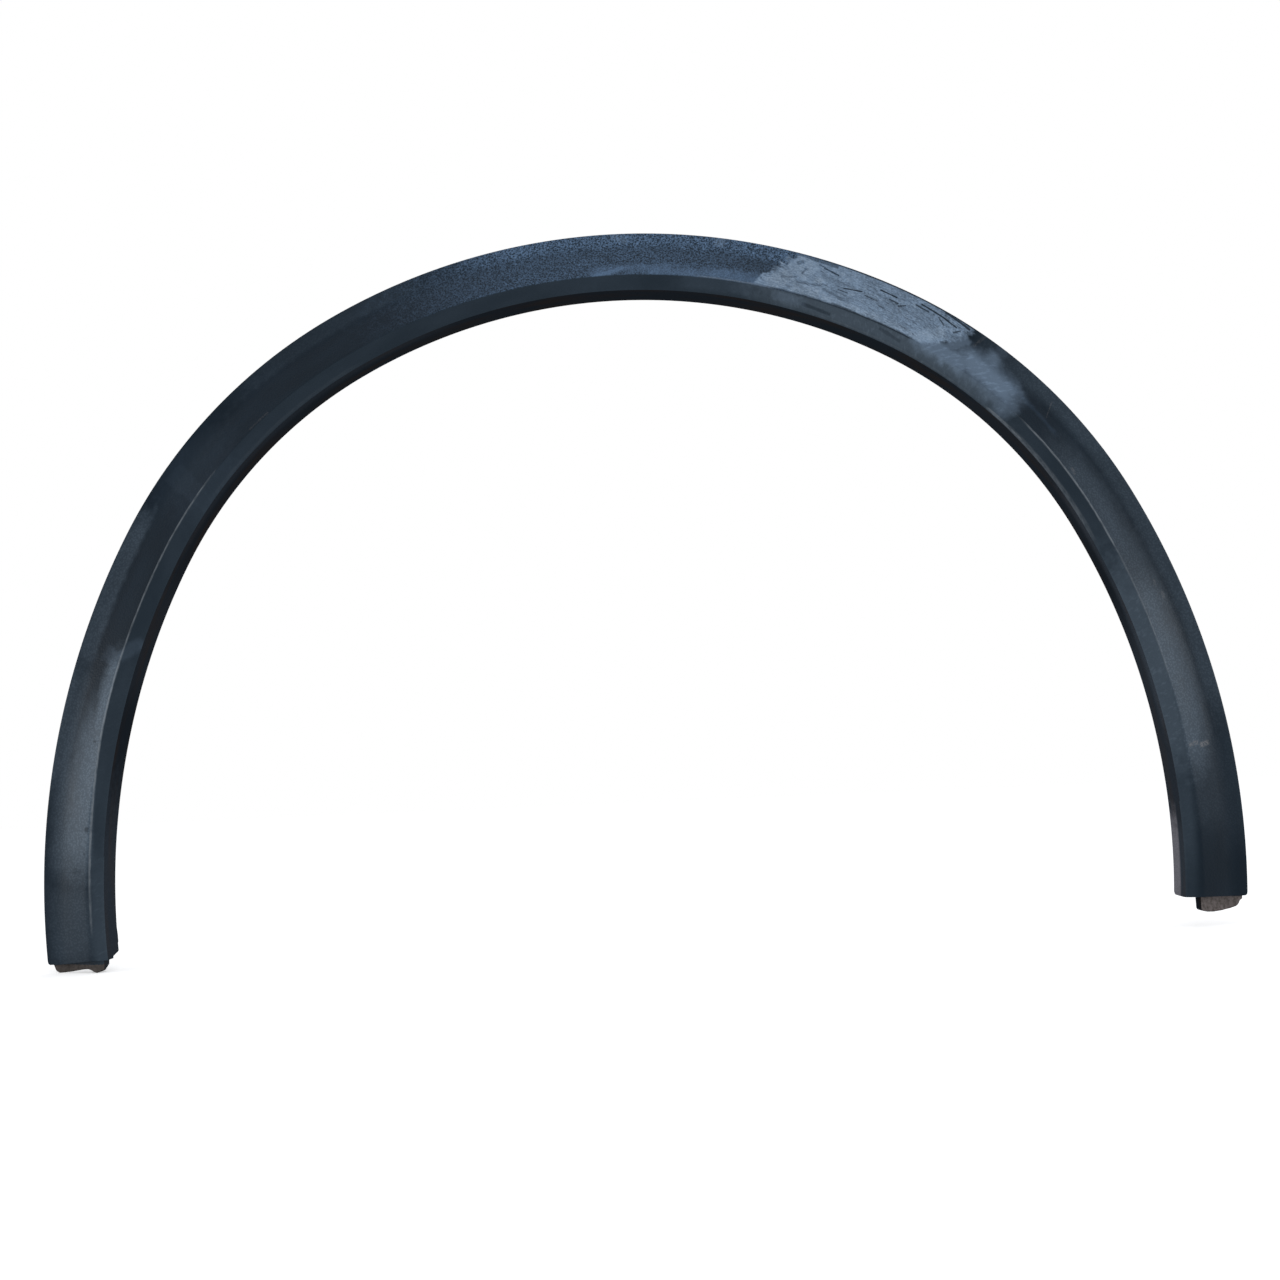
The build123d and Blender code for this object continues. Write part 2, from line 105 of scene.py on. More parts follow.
@dataclass(frozen=True)
class ArchLine:
    """Outer edge of the trim: tangent arcs, alike on both sides of the top."""

    top_radius: float = 473.0
    top_end: float = 28.6
    shoulder_radius: float = 390.0
    shoulder_end: float = 63.0
    leg_radius: float = 576.0
    pin_inset: float = 31.0
    left_drop: float = 546.0
    right_drop: float = 530.5

    def arcs(self) -> list[Arc]:
        """Lists the arcs of one side.

        Returns:
            The arcs from the top down, each tangent to the one before it.
        """
        found = [Arc(0.0, 0.0, self.pin_inset - self.top_radius, self.top_radius, 0.0)]
        for start, radius in ((self.top_end, self.shoulder_radius), (self.shoulder_end, self.leg_radius)):
            last = found[-1]
            change = last.radius - radius
            across = last.across + change * math.sin(math.radians(start))
            up = last.up + change * math.cos(math.radians(start))
            run = last.run + last.radius * math.radians(start - last.start)
            found.append(Arc(start, across, up, radius, run))
        return found

    def end_height(self, side: Side) -> float:
        """Height of the cut end of a leg."""
        return self.pin_inset - (self.left_drop if side is Side.LEFT else self.right_drop)

    def end_heading(self, side: Side) -> float:
        """Heading, without its side, at which the outer edge reaches the cut end."""
        return float(self.leg_heading(0.0, self.end_height(side)))

    def heading_at(self, along: float) -> float:
        """Heading of the edge at a signed distance from the top."""
        arc = [arc for arc in self.arcs() if arc.run <= abs(along)][-1]
        return math.copysign(arc.start + math.degrees((abs(along) - arc.run) / arc.radius), along)

    def leg_heading(self, inset: np.ndarray | float, height: np.ndarray | float) -> np.ndarray:
        """Headings, without their side, at which a leg's lines of given insets reach given heights."""
        leg = self.arcs()[-1]
        return np.degrees(np.arccos((height - leg.up) / (leg.radius - inset)))

    def leg_across(self, inset: float, height: float) -> float:
        """Distance of a leg's line from the middle of the arch, at a height."""
        leg = self.arcs()[-1]
        return leg.across + math.sqrt((leg.radius - inset) ** 2 - (height - leg.up) ** 2)

    def points(self, heading: np.ndarray, inset: np.ndarray, depth: np.ndarray) -> np.ndarray:
        """Places points on the arch.

        Args:
            heading: Signed headings.
            inset: Insets from the outer edge.
            depth: Depths from the body panel.

        Returns:
            The points, with X, Y and Z in the last axis.
        """
        turn = np.abs(heading)
        arcs = np.array(self.arcs())
        number = np.searchsorted(arcs[:, 0], turn, side="right") - 1
        _, across, up, radius, _ = np.moveaxis(arcs[number], -1, 0)
        x = np.sign(heading) * (across + (radius - inset) * np.sin(np.radians(turn)))
        z = up + (radius - inset) * np.cos(np.radians(turn))
        return np.stack([x, np.broadcast_to(depth, x.shape), z], -1)

    def coordinates(self, points: np.ndarray) -> np.ndarray:
        """Arch coordinates of points: along, inset and depth.

        Args:
            points: Points with X, Y and Z in the last axis.

        Returns:
            The coordinates, in the same order as the points.
        """
        out = np.zeros_like(points)
        out[:, 2] = points[:, 1]
        side = np.where(points[:, 0] < 0, -1.0, 1.0)
        for arc in self.arcs():
            aside = np.abs(points[:, 0]) - arc.across
            above = points[:, 2] - arc.up
            turn = np.degrees(np.arctan2(aside, above))
            here = turn >= arc.start
            along = side * (arc.run + arc.radius * np.radians(turn - arc.start))
            out[here, 0] = along[here]
            out[here, 1] = (arc.radius - np.hypot(aside, above))[here]
        return out


@dataclass(frozen=True)
class Corner:
    """A corner of a section: its place, its radius, and how finely it and the run after it are cut."""

    inset: float
    depth: float
    radius: float = 0.0
    arc_steps: int = 1
    run_steps: int = 1

    def place(self) -> np.ndarray:
        """Inset and depth as an array."""
        return np.array([self.inset, self.depth])


@dataclass(frozen=True)
class Section:
    """Section of the moulding, crisp over the arch and softer at the ends of the legs."""

    wall: float = 2.5
    lip_height: float = 2.0
    lip_radius: float = 0.9
    seat_width: float = 6.0
    seat_step: float = 0.8
    margin_width: float = 13.0
    margin_height: float = 4.5
    margin_radius: float = 42.0
    band_width: float = 50.5
    band_height: float = 11.6
    inner_band_width: float = 11.0
    ridge_height: float = 18.0
    ridge_radius: float = 0.8
    roll_radius: float = 4.0
    flange_lean: float = 1.9
    flange_reach: float = 14.0
    end_ridge_drift: float = 2.0
    end_ridge_height: float = 17.0
    end_ridge_radius: float = 13.0
    end_band_height: float = 13.0
    tip_radius: float = 0.6
    inside_radius: float = 1.2
    recess: float = 2.0

    def ridge_inset(self) -> float:
        """Inset of the ridge."""
        return self.band_width - self.inner_band_width

    def face(self, softness: float) -> list[Point]:
        """Corners of the outside, from the lip over the ridge to the flange's tip.

        Args:
            softness: From 0, crisp, to 1, soft.

        Returns:
            The corners as inset and depth.
        """
        ridge = between(self.ridge_height, self.end_ridge_height, softness)
        roll = between(self.band_height, self.end_band_height, softness)
        return [
            (0.0, -self.lip_height),
            (self.margin_width, -self.margin_height),
            (self.ridge_inset() + self.end_ridge_drift * softness, -ridge),
            (self.band_width, -roll),
            (self.band_width - self.flange_lean, self.flange_reach),
        ]

    def inner_lines(self, softness: float, under: float) -> list[Line]:
        """Ramp, inner band and flange moved under the outside.

        Args:
            softness: From 0, crisp, to 1, soft.
            under: Distance under the outside.

        Returns:
            The three lines, each as a point and a direction.
        """
        lines = []
        corners = [np.array(point) for point in self.face(softness)]
        for start, end in zip(corners[1:], corners[2:]):
            along = (end - start) / np.linalg.norm(end - start)
            lines.append((start + np.array([-along[1], along[0]]) * under, along))
        return lines

    def core(self, softness: float, under: float) -> list[Point]:
        """Corners of the hollow behind the face, a distance under the outside.

        Args:
            softness: From 0, crisp, to 1, soft.
            under: Distance under the outside.

        Returns:
            Four corners, from the lip's side over the ridge to the flange.
        """
        ramp, band, flange = self.inner_lines(softness, under)
        floor = level_line(-self.recess)
        pairs = ((floor, ramp), (ramp, band), (band, flange), (floor, flange))
        return [crossing(*pair) for pair in pairs]

    def under_face(self, softness: float, inset: float, under: float) -> float:
        """Depth of the wall at an inset, a distance under the outside.

        Args:
            softness: From 0, crisp, to 1, soft.
            inset: Inset from the outer edge.
            under: Distance under the outside.

        Returns:
            The depth, on the ramp or on the inner band.
        """
        depths = []
        for start, along in self.inner_lines(softness, under)[:2]:
            depths.append(start[1] + (inset - start[0]) * along[1] / along[0])
        return max(depths)

    def corners(self, softness: float) -> list[Corner]:
        """All corners of the wall, once round.

        Args:
            softness: From 0, crisp, to 1, soft.

        Returns:
            The corners, with the same steps for every softness.
        """
        lip, margin, ridge, roll, tip = self.face(softness)
        ramp, band, flange = self.inner_lines(softness, self.wall)
        tip_end = np.array(tip) + flange[0] - np.array(roll)
        ridge_radius = between(self.ridge_radius, self.end_ridge_radius, softness)
        inner_seat = crossing(level_line(-self.seat_step), ramp)
        return [
            Corner(*lip, self.lip_radius, arc_steps=4, run_steps=7),
            Corner(*margin, self.margin_radius, arc_steps=7, run_steps=12),
            Corner(*ridge, ridge_radius, arc_steps=7, run_steps=5),
            Corner(*roll, self.roll_radius, arc_steps=8, run_steps=12),
            Corner(*tip, self.tip_radius, arc_steps=3, run_steps=2),
            Corner(*tip_end, self.tip_radius, arc_steps=3, run_steps=7),
            Corner(*crossing(band, flange), self.inside_radius, arc_steps=3, run_steps=3),
            Corner(*crossing(ramp, band), self.inside_radius, arc_steps=3, run_steps=8),
            Corner(*inner_seat, self.inside_radius, arc_steps=2, run_steps=3),
            Corner(self.seat_width, -self.seat_step),
            Corner(self.seat_width, 0.0, run_steps=3),
            Corner(0.0, 0.0, run_steps=2),
        ]

    def outline(self, softness: float) -> np.ndarray:
        """Points of the wall's outline, once round.

        Args:
            softness: From 0, crisp, to 1, soft.

        Returns:
            Rows of inset and depth.
        """
        corners = self.corners(softness)
        threes = zip(corners[-1:] + corners[:-1], corners, corners[1:] + corners[:1])
        rounds = [rounded_corner(*three) for three in threes]
        points = []
        for corner, here, ahead in zip(corners, rounds, rounds[1:] + rounds[:1]):
            points += here
            for step in range(1, corner.run_steps):
                points.append(here[-1] + (ahead[0] - here[-1]) * step / corner.run_steps)
        return np.array(points)


def between(first: float, second: float, share: float) -> float:
    """Value between two others, at a share of the way."""
    return first + (second - first) * share


def round_rise(share: np.ndarray) -> np.ndarray:
    """Rise of a quarter round, from 0 where it starts to 1 at its end."""
    return 1 - np.sqrt(1 - share**2)


def circle(radius: float, steps: int) -> list[Point]:
    """Points round a circle."""
    turns = [2 * math.pi * step / steps for step in range(steps)]
    return [(radius * math.cos(turn), radius * math.sin(turn)) for turn in turns]


def level_line(depth: float) -> Line:
    """Line of a section at one depth."""
    return np.array([0.0, depth]), np.array([1.0, 0.0])


def crossing(first: Line, second: Line) -> Point:
    """Point where two lines of a section meet.

    Args:
        first: A point and a direction.
        second: Another point and direction.

    Returns:
        Inset and depth of the crossing.
    """
    gap = second[0] - first[0]
    spread = first[1][0] * second[1][1] - first[1][1] * second[1][0]
    reach = (gap[0] * second[1][1] - gap[1] * second[1][0]) / spread
    point = first[0] + first[1] * reach
    return (float(point[0]), float(point[1]))


def rounded_corner(before: Corner, corner: Corner, after: Corner) -> list[np.ndarray]:
    """Points of a corner, on its arc where it has a radius.

    Args:
        before: The corner before it.
        corner: The corner itself.
        after: The corner after it.

    Returns:
        One point for a sharp corner, else one more than its steps.
    """
    place = corner.place()
    if corner.radius == 0.0:
        return [place]
    back = before.place() - place
    ahead = after.place() - place
    back /= np.linalg.norm(back)
    ahead /= np.linalg.norm(ahead)
    half = math.acos(float(np.clip(back @ ahead, -1.0, 1.0))) / 2
    middle = (back + ahead) / np.linalg.norm(back + ahead)
    centre = place + middle * corner.radius / math.sin(half)
    start = place + back * corner.radius / math.tan(half) - centre
    sweep = math.copysign(math.pi - 2 * half, back[1] * ahead[0] - back[0] * ahead[1])
    points = []
    for step in range(corner.arc_steps + 1):
        angle = sweep * step / corner.arc_steps
        cos, sin = math.cos(angle), math.sin(angle)
        points.append(centre + np.array([[cos, -sin], [sin, cos]]) @ start)
    return points


@dataclass
class Solid:
    """A closed mesh under construction, in millimetres."""

    points: list[Place] = field(default_factory=list)
    faces: list[tuple[int, ...]] = field(default_factory=list)

    def loft(self, rings: np.ndarray | list[list[Place]]) -> "Solid":
        """Adds a skin over rings of points, closed at its first and its last ring.

        Args:
            rings: The rings in order, all with the same number of points.

        Returns:
            This solid.
        """
        rings = np.asarray(rings)
        first, count = len(self.points), rings.shape[1]
        self.points += [tuple(point) for point in rings.reshape(-1, 3).tolist()]
        last = len(self.points) - count
        for low in range(first, last, count):
            high = low + count
            for number in range(count):
                after = (number + 1) % count
                self.faces.append((low + number, low + after, high + after, high + number))
        self.faces.append(tuple(range(first, first + count)))
        self.faces.append(tuple(range(last, last + count)))
        return self

    def lathe(self, outline: list[Point], steps: int) -> "Solid":
        """Adds a solid turned about the Y axis.

        Args:
            outline: Radius and depth of each point, from the axis back to the axis.
            steps: Steps round.

        Returns:
            This solid.
        """
        first = len(self.points)
        rings = outline[1:-1]
        self.points.append((0.0, outline[0][1], 0.0))
        for radius, depth in rings:
            self.points += [(across, depth, up) for across, up in circle(radius, steps)]
        self.points.append((0.0, outline[-1][1], 0.0))
        last = len(self.points) - 1
        for step in range(steps):
            after = (step + 1) % steps
            self.faces.append((first, first + 1 + step, first + 1 + after))
            self.faces.append((last, last - steps + after, last - steps + step))
            for ring in range(len(rings) - 1):
                low = first + 1 + ring * steps
                self.faces.append((low + step, low + steps + step, low + steps + after, low + after))
        return self

    def softened(self, bevel: float) -> "Solid":
        """Copy with its sharp edges rounded off.

        Args:
            bevel: Width of the rounding.

        Returns:
            The rounded solid.
        """
        draft = self.draft()
        bmesh.ops.bevel(
            draft,
            geom=[edge for edge in draft.edges if edge.calc_face_angle(0.0) > SHARP_ANGLE],
            offset=bevel,
            segments=BEVEL_STEPS,
            profile=ROUND_PROFILE,
            affect="EDGES",
            clamp_overlap=True,
        )
        made = Solid.from_draft(draft)
        draft.free()
        return made

    def draft(self) -> bmesh.types.BMesh:
        """Opens the solid for editing.

        Returns:
            The open mesh, with its faces turned outwards.
        """
        draft = bmesh.new()
        corners = [draft.verts.new(point) for point in self.points]
        for face in self.faces:
            draft.faces.new([corners[number] for number in face])
        bmesh.ops.recalc_face_normals(draft, faces=draft.faces)
        draft.normal_update()
        return draft

    @staticmethod
    def from_draft(draft: bmesh.types.BMesh) -> "Solid":
        """Reads a solid back from an open mesh."""
        draft.verts.index_update()
        return Solid(
            [tuple(vertex.co) for vertex in draft.verts],
            [tuple(vertex.index for vertex in face.verts) for face in draft.faces],
        )

    def add(self, other: "Solid") -> None:
        """Adds another closed solid to this one.

        Args:
            other: The solid to add.
        """
        first = len(self.points)
        self.points += other.points
        self.faces += [tuple(first + number for number in face) for face in other.faces]

    def object(self, name: str) -> bpy.types.Object:
        """Makes the solid an object of the scene, in metres and shaded smooth.

        Args:
            name: Name of the object.

        Returns:
            The object.
        """
        draft = self.draft()
        bmesh.ops.triangulate(draft, faces=[face for face in draft.faces if len(face.verts) > 4])
        bmesh.ops.scale(draft, vec=(MM, MM, MM), verts=draft.verts)
        mesh = bpy.data.meshes.new(name)
        draft.to_mesh(mesh)
        draft.free()
        mesh.shade_smooth()
        mesh.set_sharp_from_angle(angle=SHARP_ANGLE)
        made = bpy.data.objects.new(name, mesh)
        bpy.context.scene.collection.objects.link(made)
        return made


@dataclass(frozen=True)
class Station:
    """Place on the arch with its own axes: inset inwards, along clockwise, depth into the car."""

    line: ArchLine
    heading: float

    def point(self, inset: float, along: float, depth: float) -> Place:
        """Point of the station.

        Args:
            inset: Inset from the outer edge.
            along: Distance along, from the station.
            depth: Depth from the body panel.

        Returns:
            The point.
        """
        turn = math.radians(self.heading)
        x, _, z = self.line.points(np.array([self.heading]), np.array([inset]), np.array([depth]))[0]
        return (x + along * math.cos(turn), depth, z - along * math.sin(turn))

    def across(self, outline: list[Point], start: float, end: float) -> Solid:
        """Prism with an outline of inset and depth, between two distances along."""
        ends = [[self.point(inset, along, depth) for inset, depth in outline] for along in (start, end)]
        return Solid().loft(ends)

    def flat(self, outline: list[Point], shallow: float, deep: float) -> Solid:
        """Prism with an outline of inset and distance along, between two depths."""
        ends = [[self.point(inset, along, depth) for inset, along in outline] for depth in (shallow, deep)]
        return Solid().loft(ends)

    def upright(self, outline: list[Point], outer: float, inner: float) -> Solid:
        """Prism with an outline of distance along and depth, between two insets."""
        ends = [[self.point(inset, along, depth) for along, depth in outline] for inset in (outer, inner)]
        return Solid().loft(ends)


@dataclass(frozen=True)
class EndCut:
    """How far parts of one leg's cut end rise over its lowest point."""

    face: float
    flange: float
    flange_corner: float


@dataclass(frozen=True)
class Fade:
    """How the section goes over to the softer one down each leg, and how the legs are cut off."""

    line: ArchLine
    section: Section
    start: float = 76.0
    overrun: float = 4.0
    end_wall: float = 2.5
    outer_corner_width: float = 2.0
    outer_corner_height: float = 3.0
    face_start: float = 8.0
    face_run: float = 30.0
    corner_run: float = 4.5
    left_taper: float = 2.4
    left_cut: EndCut = EndCut(face=3.0, flange=4.0, flange_corner=1.0)
    right_cut: EndCut = EndCut(face=1.4, flange=0.0, flange_corner=4.5)
    cut_rounds: int = 4

    def softness(self, heading: np.ndarray) -> np.ndarray:
        """Softness of the section.

        Args:
            heading: Signed headings.

        Returns:
            0 for the crisp section to 1 for the soft one, at each heading.
        """
        left, right = self.line.end_heading(Side.LEFT), self.line.end_heading(Side.RIGHT)
        end = np.where(heading < 0, left, right) + self.overrun
        share = np.clip((np.abs(heading) - self.start) / (end - self.start), 0.0, 1.0)
        return share * share * (3 - 2 * share)

    def softness_at(self, heading: float) -> float:
        """Softness of the section at one signed heading."""
        return float(self.softness(np.array([heading]))[0])

    def tapered(self, heading: np.ndarray, inset: np.ndarray, depth: np.ndarray) -> np.ndarray:
        """Depths of a section whose flange grows shallower down the left leg.

        Args:
            heading: Signed headings.
            inset: Insets.
            depth: Depths without the taper.

        Returns:
            The depths.
        """
        front = -self.section.band_height
        taper = self.left_taper * np.where(heading < 0, self.softness(heading), 0.0)
        share = (depth - front) / (self.section.flange_reach - front)
        flange = (inset > self.section.ridge_inset()) & (depth > front)
        return depth - np.where(flange, taper * share, 0.0)

    def end_cut(self, side: Side) -> EndCut:
        """Cut of one leg."""
        return self.left_cut if side is Side.LEFT else self.right_cut

    def cut(self, side: Side, across: np.ndarray | float) -> np.ndarray:
        """Height of a leg's cut end, with its slant and its rounded outer corner.

        Args:
            side: Which leg.
            across: Distances from the middle of the arch.

        Returns:
            The heights.
        """
        height = self.line.end_height(side)
        from_outer = self.line.leg_across(0.0, height) - across
        outer = np.clip(1 - from_outer / self.outer_corner_width, 0.0, 1.0)
        face = np.clip((from_outer - self.face_start) / self.face_run, 0.0, 1.0)
        rise = self.end_cut(side).face * face
        return height + rise + self.outer_corner_height * round_rise(outer)

    def flange_rise(self, side: Side, outline: np.ndarray) -> np.ndarray:
        """How far the flange's end rises over the rest of the cut, behind the inner band.

        Args:
            side: Which leg.
            outline: Rows of inset and depth.

        Returns:
            One rise for each row, 0 in front of the flange.
        """
        inset, depth = outline[:, 0], outline[:, 1]
        run = self.section.band_height + self.section.flange_reach
        slant = np.clip((depth + self.section.band_height) / run, 0.0, 1.0)
        corner = np.clip(1 - (self.section.flange_reach - depth) / self.corner_run, 0.0, 1.0)
        cut = self.end_cut(side)
        rise = cut.flange * slant + cut.flange_corner * round_rise(corner)
        return np.where(inset > self.section.ridge_inset(), rise, 0.0)

    def end_headings(self, side: Side, outline: np.ndarray) -> np.ndarray:
        """Headings, without their side, at which the lines of an outline meet the cut.

        Args:
            side: Which leg.
            outline: Rows of inset and depth.

        Returns:
            One heading for each row.
        """
        height = np.full(len(outline), self.line.end_height(side))
        rise = self.flange_rise(side, outline)
        for _ in range(self.cut_rounds):
            heading = self.line.leg_heading(outline[:, 0], height)
            across = self.line.points(heading, outline[:, 0], outline[:, 1])[:, 0]
            height = self.cut(side, across) + rise
        return self.line.leg_heading(outline[:, 0], height)


@dataclass(frozen=True)
class Fixings:
    """Hidden side of the moulding: ribs, clip towers and the locating pin."""

    line: ArchLine
    section: Section
    fade: Fade
    rib_thickness: float = 1.4
    first_clip: float = 90.0
    clip_spacing: float = 165.0
    clips_per_side: int = 5
    ribs_per_bay: int = 2
    tower_width: float = 17.0
    tower_length: float = 20.0
    tower_wall: float = 1.6
    plate_thickness: float = 2.0
    slot_width: float = 6.4
    slot_steps: int = 8
    pin_radius: float = 3.5
    pin_length: float = 8.0
    pin_point_length: float = 2.5
    pin_point_radius: float = 2.0
    pin_steps: int = 32
    boss_radius: float = 6.0
    boss_rib_length: float = 30.0
    edge: float = 0.25
    overlap: float = 0.05

    def clip_places(self) -> list[float]:
        """Signed distances of the clips along the edge, from the left to the right."""
        right = [self.first_clip + number * self.clip_spacing for number in range(self.clips_per_side)]
        return [-place for place in reversed(right)] + right

    def rib_places(self) -> list[float]:
        """Lists where the ribs stand.

        Returns:
            Their signed distances along the edge.
        """
        right = [self.first_clip / 2]
        for bay in range(self.clips_per_side - 1):
            for number in range(self.ribs_per_bay):
                share = (number + 1) / (self.ribs_per_bay + 1)
                right.append(self.first_clip + (bay + share) * self.clip_spacing)
        return [-place for place in right] + [0.0] + right

    def rib(self, along: float) -> Solid:
        """Thin wall across the hollow, which ends inside the wall.

        Args:
            along: Distance along the edge.

        Returns:
            The rib.
        """
        station = Station(self.line, self.line.heading_at(along))
        outline = self.section.core(self.fade.softness_at(station.heading), self.section.wall / 2)
        return station.across(outline, -self.rib_thickness / 2, self.rib_thickness / 2)

    def wall_outline(self, heading: float, start: float, end: float) -> list[Point]:
        """Outline of a wall that stands on the inside of the face.

        Args:
            heading: Heading of the wall's place.
            start: Inset of its outer end.
            end: Inset of its inner end.

        Returns:
            Corners as inset and depth, with the ridge's where the wall crosses it.
        """
        under = self.section.wall / 2
        softness = self.fade.softness_at(heading)
        _, ridge, _, _ = self.section.core(softness, under)
        insets = [start, ridge[0], end] if start < ridge[0] < end else [start, end]
        top = -self.section.recess - self.overlap
        feet = [(inset, self.section.under_face(softness, inset, under)) for inset in insets]
        return [(start, top)] + feet + [(end, top)]

    def tower(self, along: float) -> list[Solid]:
        """Clip tower: three walls, and a plate with the slot that a clip's neck slides along.

        Args:
            along: Distance along the edge.

        Returns:
            The walls and the plate.
        """
        station = Station(self.line, self.line.heading_at(along))
        down = math.copysign(1.0, along)
        middle = self.line.pin_inset
        inside = self.tower_width / 2
        outside = inside + self.tower_wall
        half = self.tower_length / 2
        runs = (
            (-outside, -inside, -half, half),
            (inside, outside, -half, half),
            (-outside, outside, -down * half, -down * (half - self.tower_wall)),
        )
        made = []
        for outer, inner, start, end in runs:
            outline = self.wall_outline(station.heading, middle + outer, middle + inner)
            made.append(station.across(outline, start, end))
        reach = self.slot_width / 2
        plate = [(-outside, half), (-reach, half)]
        for step in range(self.slot_steps + 1):
            angle = math.pi * step / self.slot_steps
            plate.append((-reach * math.cos(angle), -reach * math.sin(angle)))
        plate += [(reach, half), (outside, half), (outside, -half), (-outside, -half)]
        top = -self.section.recess
        outline = [(middle + inset, down * aside) for inset, aside in plate]
        return made + [station.flat(outline, top, top - self.plate_thickness)]

    def pin(self) -> list[Solid]:
        """Locating pin on its boss, which ends inside the slanted wall.

        Returns:
            The pin with its boss, and the rib that carries it.
        """
        under = self.section.wall / 2
        tip = self.pin_length + self.pin_point_length
        foot = self.section.under_face(0.0, self.line.pin_inset, under)
        outline = [
            (0.0, foot),
            (self.boss_radius, foot),
            (self.boss_radius, -self.edge),
            (self.boss_radius - self.edge, 0.0),
            (self.pin_radius, 0.0),
            (self.pin_radius, self.pin_length),
            (self.pin_point_radius, tip - self.edge),
            (self.pin_point_radius - self.edge, tip),
            (0.0, tip),
        ]
        boss = Solid().lathe(outline, self.pin_steps)
        for number, (across, depth, up) in enumerate(boss.points):
            if depth == foot:
                inside = self.section.under_face(0.0, self.line.pin_inset - up, under)
                boss.points[number] = (across, inside, up)
        half = self.rib_thickness / 2
        long_rib = self.wall_outline(0.0, self.line.pin_inset - half, self.line.pin_inset + half)
        reach = self.boss_rib_length / 2
        return [boss, Station(self.line, 0.0).across(long_rib, -reach, reach)]

    def solids(self) -> list[Solid]:
        """Builds all fixings.

        Returns:
            Closed solids, each of which ends inside the wall.
        """
        made = self.pin()
        made += [self.rib(along) for along in self.rib_places()]
        for along in self.clip_places():
            made += self.tower(along)
        return [solid.softened(self.edge) for solid in made]


@dataclass(frozen=True)
class Wave:
    """A sine wave over a tongue: radians per millimetre of inset and of drop, and its phase."""

    inset: float
    drop: float
    phase: float = 0.0

    def at(self, inset: float, drop: float) -> float:
        """Height of the wave at a place."""
        return math.sin(self.inset * inset + self.drop * drop + self.phase)


